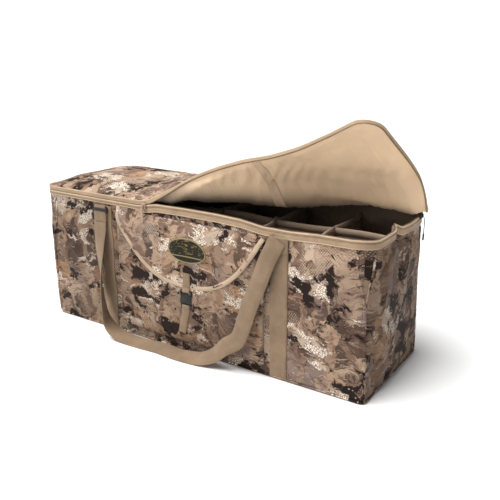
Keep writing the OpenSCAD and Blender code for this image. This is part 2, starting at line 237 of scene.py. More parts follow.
def curve_through(points, per_span=10):
    """Points on a smooth curve through a few given points (Catmull-Rom)."""
    p = np.asarray(points, float)
    p = np.concatenate([[2 * p[0] - p[1]], p, [2 * p[-1] - p[-2]]])
    out = []
    for i in range(1, len(p) - 2):
        for k in range(per_span):
            t = k / per_span
            out.append(0.5 * (2 * p[i] + (p[i + 1] - p[i - 1]) * t
                              + (2 * p[i - 1] - 5 * p[i] + 4 * p[i + 1] - p[i + 2]) * t * t
                              + (3 * p[i] - p[i - 1] - 3 * p[i + 1] + p[i + 2]) * t ** 3))
    out.append(p[-2])
    return np.array(out)


def unit_rows(a):
    return a / np.maximum(np.linalg.norm(a, axis=-1, keepdims=True), 1e-12)


def ribbon(name, path, across, width, thickness):
    """Webbing along a path; across gives its width direction at each point."""
    along = unit_rows(np.gradient(path, axis=0))
    across = unit_rows(across - along * (across * along).sum(1, keepdims=True))
    face = np.cross(along, across)
    return sweep(name, path, across, face, flat_section(width, thickness))


def join_meshes(name, pieces):
    """One object out of several."""
    bpy.ops.object.select_all(action="DESELECT")
    for piece in pieces:
        piece.select_set(True)
    bpy.context.view_layer.objects.active = pieces[0]
    bpy.ops.object.join()
    joined = bpy.context.view_layer.objects.active
    joined.name = name
    joined.data.name = name
    return joined


def soft_box(name, low, high, bevel, segments=3):
    """A moulded block with rounded edges."""
    work = bmesh.new()
    bmesh.ops.create_cube(work, size=1)
    size = Vector(high) - Vector(low)
    centre = (Vector(high) + Vector(low)) / 2
    bmesh.ops.scale(work, vec=size, verts=work.verts)
    bmesh.ops.translate(work, vec=centre, verts=work.verts)
    bmesh.ops.bevel(work, geom=work.edges[:], offset=bevel, segments=segments, profile=0.5,
                    affect="EDGES")
    mesh = bpy.data.meshes.new(name)
    work.to_mesh(mesh)
    work.free()
    mesh.polygons.foreach_set("use_smooth", [True] * len(mesh.polygons))
    return add_object(name, mesh)


def get_points(piece):
    co = np.zeros(len(piece.data.vertices) * 3)
    piece.data.vertices.foreach_get("co", co)
    return co.reshape(-1, 3)


def set_points(piece, points):
    piece.data.vertices.foreach_set("co", np.asarray(points, float).ravel())
    piece.data.update()


def wobble(points, scale, seed=0.0):
    """Smooth noise from -1 to 1 at each point."""
    return np.array([noise.noise(Vector(p) * scale + Vector((seed, seed * 1.7, -seed))) for p in
                     points.reshape(-1, 3)]).reshape(points.shape[:-1])


# ---------------------------------------------------------------- materials


class Nodes:
    """Short names for building one material."""

    def __init__(self, name):
        self.material = bpy.data.materials.new(name)
        self.material.use_nodes = True
        self.tree = self.material.node_tree
        self.shader = self.tree.nodes["Principled BSDF"]

    def add(self, kind, **inputs):
        node = self.tree.nodes.new("ShaderNode" + kind)
        for key, value in inputs.items():
            name = key.replace("_", " ")
            if name in node.inputs:
                self.put(node.inputs[name], value)
            else:
                setattr(node, key, value)
        return node

    def put(self, socket, value):
        if isinstance(value, bpy.types.NodeSocket):
            self.tree.links.new(value, socket)
        else:
            socket.default_value = value

    def math(self, operation, a, b=0.0):
        node = self.tree.nodes.new("ShaderNodeMath")
        node.operation = operation
        self.put(node.inputs[0], a)
        self.put(node.inputs[1], b)
        return node.outputs[0]

    def step(self, value, low, high):
        """0 below low, 1 above high."""
        node = self.add("MapRange", Value=value)
        node.interpolation_type = "SMOOTHSTEP"
        node.inputs["From Min"].default_value = low
        node.inputs["From Max"].default_value = high
        return node.outputs["Result"]

    def mix(self, factor, a, b):
        node = self.tree.nodes.new("ShaderNodeMix")
        node.data_type = "RGBA"
        self.put(node.inputs["Factor"], factor)
        self.put(node.inputs[6], a if isinstance(a, bpy.types.NodeSocket) else (*a, 1))
        self.put(node.inputs[7], b if isinstance(b, bpy.types.NodeSocket) else (*b, 1))
        return node.outputs[2]

    def paint(self, color, top, share, value, low, high):
        """Lays a share of the top colour over a colour where a value passes from low to high."""
        return self.mix(self.math("MULTIPLY", self.step(value, low, high), share), color, top)

    def cloth(self):
        """Place on the cloth, in metres."""
        uv = self.tree.nodes.new("ShaderNodeUVMap")
        uv.uv_map = "Cloth"
        return uv.outputs[0]

    def moved(self, vector, shift=(0, 0, 0), turn=0.0, scale=(1, 1, 1)):
        """A place that is stretched, turned and shifted."""
        node = self.add("Mapping", Vector=vector, Location=shift, Rotation=(0, 0, turn), Scale=scale)
        return node.outputs[0]

    def noise(self, vector, scale, detail=2.0, roughness=0.5, distortion=0.0):
        """Noise from 0 to 1."""
        node = self.add("TexNoise", Vector=vector, Scale=scale, Detail=detail, Roughness=roughness,
                        Distortion=distortion)
        return node.outputs["Fac"]

    def bump(self, height, distance, strength=1.0, before=None):
        node = self.add("Bump", Height=height, Distance=distance, Strength=strength)
        if before is not None:
            self.put(node.inputs["Normal"], before)
        return node.outputs[0]

    def finish(self, color, roughness, normal=None, sheen=0.0, metallic=0.0, specular=0.3):
        self.put(self.shader.inputs["Base Color"],
                 color if isinstance(color, bpy.types.NodeSocket) else (*color, 1))
        self.put(self.shader.inputs["Roughness"], roughness)
        self.shader.inputs["Specular IOR Level"].default_value = specular
        self.shader.inputs["Sheen Weight"].default_value = sheen
        self.shader.inputs["Metallic"].default_value = metallic
        if normal is not None:
            self.put(self.shader.inputs["Normal"], normal)
        return self.material


def weave_height(n, pitch):
    """Height of a plain weave with threads of one pitch, from 0 to 1."""
    place = n.cloth()
    split = n.add("SeparateXYZ", Vector=place)
    turn = math.tau / pitch
    warp = n.math("SINE", n.math("MULTIPLY", split.outputs[0], turn))
    weft = n.math("SINE", n.math("MULTIPLY", split.outputs[1], turn))
    return n.math("ADD", n.math("MULTIPLY", n.math("MULTIPLY", warp, weft), 0.5), 0.5)


def pushed_by(n, place, scale, reach, detail=3.0):
    """A place on the cloth, pushed about by noise."""
    wave = n.add("TexNoise", Vector=place, Scale=scale, Detail=detail, Roughness=0.6).outputs["Color"]
    centred = n.add("VectorMath", operation="SUBTRACT")
    n.put(centred.inputs[0], wave)
    n.put(centred.inputs[1], (0.5, 0.5, 0.5))
    pushed = n.add("VectorMath", operation="MULTIPLY_ADD")
    n.put(pushed.inputs[0], centred.outputs[0])
    n.put(pushed.inputs[1], (reach, reach, 0.0))
    n.put(pushed.inputs[2], place)
    return pushed.outputs[0]


def lit(color, light):
    """A colour made lighter or darker: painted light and shade on the camo panels, the lid's lining and the
    woven ribs, and random tone elsewhere.
    """
    return tuple(min(1.0, c * light) for c in color)


def picked_color(n, value, stops, light):
    """One flat colour for each stretch of a value. stops holds where each stretch starts."""
    node = n.add("ValToRGB", Fac=value)
    ramp = node.color_ramp
    ramp.interpolation = "CONSTANT"
    while len(ramp.elements) < len(stops):
        ramp.elements.new(0.5)
    for element, (position, color) in zip(ramp.elements, stops):
        element.position = position
        element.color = (*lit(color, light), 1)
    return node.outputs["Color"]


PATCH_BROWNS = [
    (0.00, (0.110, 0.066, 0.048)), (0.16, (0.205, 0.128, 0.088)), (0.34, (0.300, 0.192, 0.128)),
    (0.52, (0.390, 0.268, 0.185)), (0.68, (0.380, 0.222, 0.128)), (0.80, (0.235, 0.165, 0.138)),
    (0.92, (0.480, 0.352, 0.255)),
]
STROKE_BROWNS = [
    (0.00, (0.075, 0.045, 0.034)), (0.20, (0.175, 0.110, 0.080)), (0.45, (0.320, 0.215, 0.150)),
    (0.66, (0.430, 0.300, 0.205)), (0.84, (0.300, 0.170, 0.100)),
]
DARK_STREAK, PALE_STREAK = (0.095, 0.056, 0.043), (0.45, 0.325, 0.23)
DARK_HAIR, PALE_HAIR = (0.060, 0.036, 0.028), (0.56, 0.43, 0.32)
DOT = (0.58, 0.45, 0.33)
SCALE_EDGE, CREAM, DUSTY_CREAM = (0.235, 0.165, 0.125), (0.86, 0.74, 0.61), (0.46, 0.355, 0.27)
HALO, INK = (0.105, 0.062, 0.046), (0.020, 0.012, 0.009)
FLECK, SPOT = (0.40, 0.32, 0.25), (0.024, 0.015, 0.011)


def torn_patches(n, torn, light):
    """Overlapping torn patches of brown, mauve, orange and tan, with strokes and streaks over them."""
    cells = n.add("TexVoronoi", Vector=n.moved(torn, turn=-0.6, scale=(1, 0.62, 1)), Scale=17.0)
    pick = n.add("SeparateXYZ", Vector=cells.outputs["Color"])
    color = picked_color(n, pick.outputs[0], PATCH_BROWNS, light)
    strokes = n.add("TexVoronoi", Vector=n.moved(torn, (3, 1, 0), 0.75, (1, 0.36, 1)), Scale=44.0)
    mark = n.add("SeparateXYZ", Vector=strokes.outputs["Color"])
    over = picked_color(n, mark.outputs[1], STROKE_BROWNS, light)
    color = n.paint(color, over, 0.80, mark.outputs[0], 0.50, 0.54)
    streaks = n.noise(n.moved(torn, (1, 4, 0), -0.5, (30, 85, 1)), 1.0, 4.0, 0.7)
    color = n.paint(color, lit(DARK_STREAK, light), 0.70, streaks, 0.47, 0.36)
    return n.paint(color, lit(PALE_STREAK, light), 0.45, streaks, 0.54, 0.66)


def dot_fields(n, color, place, torn, light):
    """Fields of small pale dots in rows."""
    grid = n.add("TexVoronoi", Vector=n.moved(place, turn=0.6), Scale=185.0, Randomness=0.2)
    field = n.noise(n.moved(torn, (7, 3, 0)), 7.0)
    dots = n.math("MULTIPLY", n.step(grid.outputs["Distance"], 0.36, 0.26), n.step(field, 0.585, 0.61))
    return n.mix(n.math("MULTIPLY", dots, 0.65), color, lit(DOT, light))


def cream_patches(n, color, place, torn, hairs, dusty, light):
    """Cream patches with ragged edges, drawn with small scales and dusty in places."""
    wide = n.noise(n.moved(torn, (5, 2, 0), 0.7, (0.75, 1.5, 1)), 8.5, 4.0, 0.62)
    ragged = n.math("MULTIPLY", n.math("SUBTRACT", hairs, 0.5), 0.30)
    in_patch = n.step(n.math("ADD", wide, ragged), 0.568, 0.585)
    bent = n.moved(pushed_by(n, place, 20.0, 0.012), turn=0.3, scale=(1.0, 1.3, 1))
    scales = n.add("TexVoronoi", Vector=bent, Scale=165.0, Randomness=0.55)
    scales.feature = "DISTANCE_TO_EDGE"
    cream = n.mix(n.step(scales.outputs["Distance"], 0.04, 0.17), lit(SCALE_EDGE, light), lit(CREAM, light))
    cream = n.mix(n.step(dusty, 0.50, 0.58), cream, lit(DUSTY_CREAM, light))
    return n.mix(in_patch, color, cream)


def dark_blots(n, color, place, torn, dusty, light):
    """Near-black blots with a brown halo and pale flecks, and small dark spots between them."""
    blots = n.noise(n.moved(torn, (-4, 7, 0), 0.5, (1.0, 1.4, 1)), 15.0, 5.0, 0.66)
    clump = n.noise(n.moved(place, (9, 3, 0)), 6.0, 1.0)
    amount = n.math("ADD", blots, n.math("MULTIPLY", n.math("SUBTRACT", clump, 0.5), 0.45))
    flecks = n.add("TexVoronoi", Vector=place, Scale=62.0)
    ink = n.mix(n.step(flecks.outputs["Distance"], 0.17, 0.11), INK, lit(FLECK, light))
    color = n.paint(color, lit(HALO, light), 0.75, amount, 0.552, 0.565)
    color = n.mix(n.step(amount, 0.578, 0.592), color, ink)
    spots = n.add("TexVoronoi", Vector=n.moved(torn, (2, 8, 0)), Scale=58.0).outputs["Distance"]
    return n.mix(n.math("MULTIPLY", n.step(spots, 0.20, 0.14), n.step(dusty, 0.48, 0.54)), color, SPOT)


def camo_material(name, shift=(0, 0, 0), light=1.0):
    """Printed cloth. shift picks the part of the print, and light is painted light: it makes the whole print
    lighter or darker for how much light falls on the panel.
    """
    n = Nodes(name)
    place = n.moved(n.cloth(), shift)
    torn = pushed_by(n, pushed_by(n, place, 9.0, 0.10), 60.0, 0.022, 4.0)
    color = torn_patches(n, torn, light)
    hairs = n.noise(n.moved(torn, turn=0.8, scale=(18, 130, 1)), 1.0, 4.0, 0.65)
    color = n.paint(color, lit(PALE_HAIR, light), 0.60, hairs, 0.58, 0.63)
    color = n.paint(color, lit(DARK_HAIR, light), 0.80, hairs, 0.41, 0.36)
    color = dot_fields(n, color, place, torn, light)
    dusty = n.noise(torn, 24.0, 3.0)
    color = cream_patches(n, color, place, torn, hairs, dusty, light)
    color = dark_blots(n, color, place, torn, dusty, light)
    height = weave_height(n, 0.0011)
    normal = n.bump(height, 0.00025, 0.5)
    normal = n.bump(n.noise(place, 26.0, 3.0), 0.003, 0.45, before=normal)
    rough = n.math("ADD", n.math("MULTIPLY", height, 0.08), 0.74)
    return n.finish(color, rough, normal, sheen=0.03, specular=0.12)


def woven_material(name, color, rib=0.0016):
    """Webbing or tape: ribs across its run, faint random colour variation, and a painted highlight that makes
    the tops of the ribs lighter.
    """
    n = Nodes(name)
    place = n.cloth()
    split = n.add("SeparateXYZ", Vector=place)
    wave = n.math("SINE", n.math("MULTIPLY", split.outputs[0], math.tau / rib))
    across = n.math("SINE", n.math("MULTIPLY", split.outputs[1], math.tau / (rib * 1.3)))
    height = n.math("ADD", n.math("MULTIPLY", n.math("MULTIPLY", wave, across), 0.5), 0.5)
    blotch = n.noise(place, 18.0, 4.0, 0.6)
    shade = n.mix(n.step(blotch, 0.35, 0.7), lit(color, 0.76), color)
    # Painted highlight: lighter colour on the rib tops, following the bump's height.
    shade = n.mix(n.math("MULTIPLY", height, 0.25), shade, lit(color, 1.18))
    return n.finish(shade, 0.86, n.bump(height, 0.0004, 0.55), sheen=0.1, specular=0.2)


def fold_shade(n, place):
    """How much painted shade a place on the lid's cloth gets as it is tucked under the fold, from 0 to 1:
    most in the middle of the fold, and none near the back right corner."""
    split = n.add("SeparateXYZ", Vector=place)
    x = n.math("SUBTRACT", split.outputs[0], FOLD_POINT.x)
    y = n.math("SUBTRACT", split.outputs[1], FOLD_POINT.y)
    out = n.math("ADD", n.math("MULTIPLY", x, FOLD_FRONT.x), n.math("MULTIPLY", y, FOLD_FRONT.y))
    ahead = n.math("MULTIPLY", n.math("ADD", n.math("MULTIPLY", x, FOLD_AXIS.x),
                                      n.math("MULTIPLY", y, FOLD_AXIS.y)), -1.0)
    near = n.step(out, 0.082, 0.012)
    return n.math("MULTIPLY", near, n.step(ahead, 0.60, 0.42))


def satin_material(name, color, painted_fold_shade=False):
    """Thin satin lining with faint creases. With its last argument set, it gets painted shade where it is
    tucked under the lid's fold.
    """
    n = Nodes(name)
    place = n.cloth()
    creases = n.noise(n.moved(place, scale=(1, 0.25, 1)), 34.0, 4.0, 0.55, 0.4)
    shade = n.mix(n.step(n.noise(place, 7.0, 3.0), 0.35, 0.7), lit(color, 0.86), color)
    # Painted shade: the satin is made much darker where it is tucked under the fold.
    if painted_fold_shade:
        shade = n.mix(fold_shade(n, place), shade, lit(color, 0.10))
    normal = n.bump(creases, 0.011, 0.60)
    normal = n.bump(weave_height(n, 0.0008), 0.00012, 0.3, before=normal)
    return n.finish(shade, 0.52, normal, sheen=0.25, specular=0.4)


def plastic_material(name, color, rough=0.42):
    """Moulded plastic with a fine grain."""
    n = Nodes(name)
    place = n.add("TexCoord").outputs["Object"]
    grain = n.noise(place, 900.0, 3.0)
    haze = n.noise(place, 60.0, 3.0)
    shade = n.mix(n.step(haze, 0.3, 0.75), color, tuple(c * 1.6 + 0.004 for c in color))
    roughness = n.math("ADD", n.math("MULTIPLY", haze, 0.2), rough - 0.1)
    return n.finish(shade, roughness, n.bump(grain, 0.0002, 0.3), specular=0.45)


BARE_ZINC = (0.45, 0.40, 0.35)


def metal_material(name, color):
    """Painted zinc slider with the paint worn on its faces."""
    n = Nodes(name)
    wear = n.noise(n.add("TexCoord").outputs["Object"], 260.0, 4.0, 0.65)
    shade = n.mix(n.step(wear, 0.56, 0.66), color, BARE_ZINC)
    return n.finish(shade, n.math("SUBTRACT", 0.62, n.math("MULTIPLY", wear, 0.3)),
                    n.bump(wear, 0.0003, 0.3), specular=0.5)


PATCH_GROUND, PATCH_GOLD, PATCH_LINE = (0.016, 0.013, 0.005), (0.205, 0.150, 0.058), (0.30, 0.23, 0.11)


def patch_material(name):
    """Generic woven badge: near-black olive ground with broken gold reed marks above one gold line."""
    n = Nodes(name)
    place = n.cloth()
    level = n.add("SeparateXYZ", Vector=place).outputs[1]
    leaning = n.moved(pushed_by(n, place, 60.0, 0.010), turn=0.9, scale=(60, 190, 1))
    reeds = n.noise(leaning, 1.0, 3.0, 0.6)
    gold = n.math("MULTIPLY", n.step(reeds, 0.545, 0.60), n.step(level, -0.013, -0.010))
    line = n.math("MULTIPLY", n.step(level, -0.0185, -0.0175), n.step(level, -0.0145, -0.0155))
    color = n.mix(line, n.mix(gold, PATCH_GROUND, PATCH_GOLD), PATCH_LINE)
    height = n.math("ADD", weave_height(n, 0.0009), n.math("MULTIPLY", gold, 0.6))
    return n.finish(color, 0.7, n.bump(height, 0.0004, 0.8), sheen=0.05, specular=0.2)


CAMO = camo_material("camo_cloth")
# Painted shade: the left and back walls and the ends get darker copies of the print.
CAMO_LEFT_PAINTED_SHADE = camo_material("camo_left_painted_shade", light=0.72)
CAMO_END_PAINTED_SHADE = camo_material("camo_end_painted_shade", shift=(0.6, 0.2, 0), light=0.68)
# Painted light: the lid's copy of the print is made lighter, for its lit top.
CAMO_LID_PAINTED_LIGHT = camo_material("camo_lid_painted_light", shift=(1.93, 0.71, 0), light=1.14)
CAMO_FLAP = camo_material("camo_flap", shift=(0.37, 2.45, 0), light=1.0)
# Painted shade: the pocket's copy of the print is made darker.
CAMO_POCKET_PAINTED_SHADE = camo_material("camo_pocket_painted_shade", shift=(2.81, 1.33, 0), light=0.80)
WEBBING = woven_material("tan_webbing", (0.285, 0.196, 0.124))
TAPE = woven_material("tan_tape", (0.46, 0.325, 0.205), rib=0.0011)
BINDING = woven_material("tan_binding", (0.62, 0.455, 0.305), rib=0.0012)
HEM_TAPE = woven_material("hem_tape", (0.53, 0.395, 0.275), rib=0.0012)
LINING = satin_material("lining_satin", (0.95, 0.680, 0.435), painted_fold_shade=True)
LINING_TAPE = woven_material("lining_tape", (0.80, 0.58, 0.39), rib=0.0011)
# Partly painted shade: the inner satin has the lining's hue, made much darker so that the inside of the bag
# reads as shaded.
INNER_SATIN_PAINTED_SHADE = satin_material("inner_satin_painted_shade", (0.20, 0.138, 0.094))
DIVIDER_CLOTH = satin_material("divider_cloth", (0.27, 0.195, 0.160))
DIVIDER_EDGE = woven_material("divider_binding", (0.42, 0.31, 0.225), rib=0.0012)
TEETH = plastic_material("zip_teeth", (0.17, 0.115, 0.072), 0.5)
BLACK = plastic_material("black_plastic", (0.0035, 0.0035, 0.0035), 0.5)
BOARD = plastic_material("base_sheet", (0.030, 0.026, 0.022), 0.6)
SLIDER_PAINT = metal_material("slider_paint", (0.42, 0.27, 0.20))
PATCH = patch_material("patch_weave")
THREAD = woven_material("patch_thread", (0.34, 0.27, 0.13), rib=0.0014)


def dress(piece, material):
    piece.data.materials.clear()
    piece.data.materials.append(material)
    return piece


def mount(piece, body, material, slot, *nodes):
    """Dresses a piece, lets it ride on a body and puts it in the place of CAD nodes."""
    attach(dress(piece, material), body)
    if nodes:
        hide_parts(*nodes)
    return piece


# ---------------------------------------------------------------- plan of the bag


def rounded_ring(half_x, half_y, radius, per_x, per_y, per_corner):
    """Points and outward directions round the plan, from the left end of the back edge, round the
    left end, the front and the right end, and back along the back edge. The corners by the ends of
    the fold are tighter than the free one."""
    points, outward = [], []
    tight = radius * TIGHT_CORNER

    def side(start, end, steps, normal):
        for k in range(steps):
            t = k / steps
            points.append((start[0] + (end[0] - start[0]) * t, start[1] + (end[1] - start[1]) * t))
            outward.append(normal)

    def corner(cx, cy, first, r):
        for k in range(per_corner):
            a = math.radians(first + 90 * k / per_corner)
            points.append((cx + r * math.cos(a), cy + r * math.sin(a)))
            outward.append((math.cos(a), math.sin(a)))

    x, y = half_x - tight, half_y - tight
    wide_x, wide_y = half_x - radius, half_y - radius
    corner(-x, y, 90, tight)
    side((-half_x, y), (-half_x, -y), per_y, (-1, 0))
    corner(-x, -y, 180, tight)
    side((-x, -half_y), (wide_x, -half_y), per_x, (0, -1))
    corner(wide_x, -wide_y, 270, radius)
    side((half_x, -wide_y), (half_x, y), per_y, (1, 0))
    corner(x, y, 0, tight)
    side((x, half_y), (-x, half_y), per_x, (0, 1))
    return np.array(points), np.array(outward)


PER_X, PER_Y, PER_CORNER = 104, 30, 9
ZIP_COUNT = 4 * PER_CORNER + 2 * PER_Y + PER_X + 1


def zip_run(inset=0.0):
    """The rim's line without the back edge: points and outward directions."""
    points, outward = rounded_ring(HALF_L - inset, HALF_W - inset, RIM_RADIUS - inset, PER_X, PER_Y,
                                   PER_CORNER)
    return points[:ZIP_COUNT], outward[:ZIP_COUNT]


RIM_LINE_X = [-0.16, -0.10, 0.00, 0.10, 0.18, 0.25, 0.33, 0.40, 0.46, 0.55]
RIM_LINE_Z = [0.0, 0.011, 0.013, 0.013, 0.010, 0.001, 0.001, 0.0055, 0.006, 0.0075]
END_LINE_Y = [-0.18, -0.126, -0.05, -0.026, -0.009, 0.008, 0.06, 0.12, 0.16]
END_LINE_Z = [0.007, 0.0015, 0.0, 0.002, 0.0105, 0.0, -0.002, -0.003, -0.001]


def front_share(points):
    """1 at the front edge of the rim, 0 behind it."""
    return smooth((-points[..., 1] - 0.09) / 0.07)


def right_share(points):
    """1 at the right end of the rim, 0 away from it."""
    return smooth((points[..., 0] - HALF_L + 0.05) / 0.045)


def rim_sag(points):
    """How the soft open rim gives way: it stands proud near the front slider, dips along the front on
    the right and along the right end, and has one kink there."""
    x, y, z = points[..., 0], points[..., 1], points[..., 2]
    front, right = front_share(points), right_share(points)
    height = smooth((z - 0.20) / 0.18)
    along_front = np.interp(x, RIM_LINE_X, RIM_LINE_Z)
    along_end = np.interp(y, END_LINE_Y, END_LINE_Z)
    moved = points.copy()
    moved[..., 2] += height * (front * along_front * (1 - right) + right * along_end)
    moved[..., 0] -= height * right * (0.012 * hump(y, -0.009, 0.012) - 0.005 * hump(y, 0.06, 0.05))
    return left_flare(moved)


def left_flare(points):
    """The left end leans out towards the rim and swells at half height."""
    x, z = points[..., 0], points[..., 2]
    share = np.clip(z / WALL_TOP, 0, 1)
    moved = points.copy()
    moved[..., 0] -= smooth((-x - HALF_L + 0.16) / 0.16) * (0.013 * share + 0.010 * np.sin(math.pi * share))
    return moved


def rise_with_rim(points):
    """The edge of the lid follows the rim, which stands proud near the front slider."""
    moved = points.copy()
    rim = np.interp(points[..., 0], RIM_LINE_X, RIM_LINE_Z)
    moved[..., 2] += front_share(points) * (1 - right_share(points)) * rim
    return moved


# ---------------------------------------------------------------- folding the lid


def bend_heading():
    """The way the bend's weight grows: square to the line between the two sliders, and tilted up."""
    run = Vector((HALF_L, END_SLIDER_Y, 0)) - Vector((FOLD_POINT.x, FOLD_POINT.y, 0))
    level = Vector((run.y, -run.x, 0)).normalized()
    return level * math.cos(FOLD_TILT) + UP * math.sin(FOLD_TILT)


def fold(points):
    flat = left_flare(rise_with_rim(points)).reshape(-1, 3)
    rel = flat - np.array(FOLD_POINT)
    axis, front, heading = np.array(FOLD_AXIS), np.array(FOLD_FRONT), np.array(bend_heading())
    along = rel @ axis
    out = rel @ front
    high = rel[:, 2]
    reach = np.hypot(out, high)
    angle = np.arctan2(high, out)
    low = np.zeros(len(flat))
    top = np.full(len(flat), FOLD_ANGLE)
    for _ in range(32):
        mid = (low + top) / 2
        place = (along * (axis @ heading) + reach * np.cos(angle + mid) * (front @ heading)
                 + reach * np.sin(angle + mid) * heading[2])
        weight = smooth((place - FOLD_START) / (FOLD_END - FOLD_START))
        over = mid > FOLD_ANGLE * weight
        top = np.where(over, mid, top)
        low = np.where(over, low, mid)
    turned = angle + (low + top) / 2
    moved = (np.outer(along, axis) + np.outer(reach * np.cos(turned), front)
             + np.outer(reach * np.sin(turned), [0, 0, 1]) + np.array(FOLD_POINT))
    return (moved + lid_belly(flat, along, out)).reshape(points.shape)


FOLD_LENGTH = math.hypot(HALF_L - FOLD_POINT.x, 2 * HALF_W)


def lid_belly(flat, along, out):
    """Spare shape of the open part: its edge bows up near the front slider, sinks half way along and
    leans outwards near the back right corner."""
    ahead = np.clip(-along / FOLD_LENGTH, 0, 1)
    free = smooth(out / 0.03)
    near_slider = hump(ahead, 0.22, 0.16) * free
    middle = hump(ahead, 0.60, 0.18) * smooth(out / 0.20)
    near_corner = hump(ahead, 0.93, 0.10) * smooth(out / 0.035)
    shift = np.outer(near_slider, (0.001, 0.0, 0.009)) + np.outer(middle, (0.0, 0.0, -0.018))
    return shift + np.outer(near_corner, (0.024, 0.004, 0.010))


def bend_with_lid(piece, *nodes):
    """Bakes a dressed piece's place into its mesh and puts it in the place of CAD nodes."""
    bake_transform(piece)
    if nodes:
        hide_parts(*nodes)


SIM_FRAMES = 18
STIFFNESS = 12.0


def cloth_modifier(piece, spare, pressure):
    """Light cloth that is cut larger by a share, so that it buckles, and is filled by pressure."""
    cloth = piece.modifiers.new("Cloth", "CLOTH")
    cloth.settings.quality = 6
    cloth.settings.mass = 0.25
    cloth.settings.tension_stiffness = STIFFNESS
    cloth.settings.compression_stiffness = STIFFNESS
    cloth.settings.shear_stiffness = STIFFNESS / 2
    cloth.settings.bending_stiffness = 0.6
    cloth.settings.vertex_group_mass = "pins"
    cloth.settings.shrink_min = -spare
    cloth.settings.use_pressure = True
    cloth.settings.uniform_pressure_force = pressure
    cloth.settings.effector_weights.gravity = 0.0
    cloth.collision_settings.use_collision = False
    cloth.point_cache.frame_end = SIM_FRAMES


def relax(points, wrap, pins, spare, pressure, cap, give=1.0):
    """A grid of points after a short cloth simulation. pins and give hold one value a point: how
    firmly it is held, and how much of its movement, which is at most cap, is kept."""
    before = points.reshape(-1, 3)
    study = make_mesh("cloth_study", before, grid_faces(*points.shape[:2], wrap))
    group = study.vertex_groups.new(name="pins")
    for i, weight in enumerate(np.asarray(pins, float).ravel()):
        if weight > 0:
            group.add([i], float(weight), "REPLACE")
    cloth_modifier(study, spare, pressure)
    scene = bpy.context.scene
    for f in range(1, SIM_FRAMES + 1):
        scene.frame_set(f)
    after = get_points(study.evaluated_get(bpy.context.evaluated_depsgraph_get()))
    scene.frame_set(1)
    bpy.data.objects.remove(study)
    shift = after - before
    length = np.linalg.norm(shift, axis=1, keepdims=True)
    shift *= np.minimum(1, cap / np.maximum(length, 1e-9))
    keep = np.broadcast_to(np.asarray(give, float), points.shape[:2]).reshape(-1, 1)
    return (before + shift * keep).reshape(points.shape)


# ---------------------------------------------------------------- body of the bag

BAND_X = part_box("front_band_right")[0].x + WEB_W / 2
FREE_LOW, FREE_HIGH = 0.010, 0.372
CORNER_W = 0.045
END_CUT = 0.014
BODY_HEIGHTS = np.concatenate([[0.0008, 0.003, 0.006], np.linspace(0.014, WALL_TOP, 50)])


def corner_radius(z):
    """The corners are sharp at the foot and round at the rim."""
    return FOOT_RADIUS + (RIM_RADIUS - FOOT_RADIUS) * float(smooth(z / 0.34))


def body_points():
    rows = []
    for z in BODY_HEIGHTS:
        tuck = max(0.0, 0.006 - z) * 0.6
        plan, _ = rounded_ring(HALF_L - tuck, HALF_W - tuck, corner_radius(z), PER_X, PER_Y, PER_CORNER)
        rows.append(np.concatenate([plan, np.full((len(plan), 1), z)], 1))
    return np.array(rows)


def under_pocket(points, margin=0.02):
    """1 behind the pocket and its flap, 0 away from it."""
    x, y, z = points[..., 0], points[..., 1], points[..., 2]
    inside = smooth((POCKET_HALF + margin - np.abs(x)) / margin) * (y < -HALF_W + 0.02)
    return inside * smooth((z - POCKET_LOW + 0.03) / 0.03)


def soften_body(points):
    """Slack cloth between the pinned rim, foot, bands and corner seams."""
    x, y, z = points[..., 0], points[..., 1], points[..., 2]
    pins = (z > FREE_HIGH) * 1.0 + (z < FREE_LOW) * 1.0
    long_side = np.abs(y) > HALF_W - 0.01
    pins = np.maximum(pins, 0.9 * long_side * (np.abs(np.abs(x) - BAND_X) < 0.02))
    in_corner = (np.abs(x) > HALF_L - CORNER_W) & (np.abs(y) > HALF_W - CORNER_W)
    pins = np.maximum(pins, 0.96 * in_corner)
    give = 1 - 0.92 * under_pocket(points)
    return relax(points, True, pins, 0.030, 1.2, 0.012, give)


def cut_panels(piece):
    """The ends and the left and back of the walls get darker copies of the printed cloth, as painted shade:
    the ends from another part of the print, the left and back from the same part.
    """
    for material in (CAMO_LEFT_PAINTED_SHADE, CAMO_END_PAINTED_SHADE):
        piece.data.materials.append(material)
    end_starts = (HALF_L - END_CUT) / HALF_L - (HALF_W - END_CUT) / HALF_W
    for face in piece.data.polygons:
        x, y = face.center.x, face.center.y
        if abs(x) / HALF_L - abs(y) / HALF_W > end_starts:
            face.material_index = 2
        elif x < BAND_X or y > 0:
            face.material_index = 1


body_outer = rim_sag(soften_body(body_points()))
body_flat = flat_map(run_along(body_outer[20])[None, :], BODY_HEIGHTS[:, None])
body = thick_sheet("body_cloth", body_outer, WALL_T, body_flat, wrap=True)
mount(body, "bag", CAMO, "camo_cloth", "front_panel", "back_panel", "left_end_panel", "right_end_panel")
cut_panels(body)
BODY_TREE = BVHTree.FromObject(body, bpy.context.evaluated_depsgraph_get())


def on_surface(tree, point, direction, lift):
    """Where a ray meets a surface, lifted off it. Falls back to the ray's own point."""
    hit = tree.ray_cast(Vector(point), Vector(direction))[0]
    if hit is None:
        return Vector(point)
    return hit - Vector(direction) * lift


def laid_band(name, x, side):
    """A webbing band that stands on the wall, pressed onto its cloth."""
    across = np.array([-side, 0.0, 0.0])
    offsets = np.linspace(-WEB_W / 2, WEB_W / 2, 7)
    top = TAPE_LOW - 0.0065 + tape_rise(x)
    line = np.array([(x, side * 0.30, z) for z in np.linspace(0.003, top, 70)])
    grid = np.array([[on_surface(BODY_TREE, p + across * o, (0, -side, 0), WEB_T + 0.0004)
                      for o in offsets] for p in line])
    return thick_sheet(name, grid, WEB_T, flat_map(run_along(line)[:, None], offsets[None, :]))


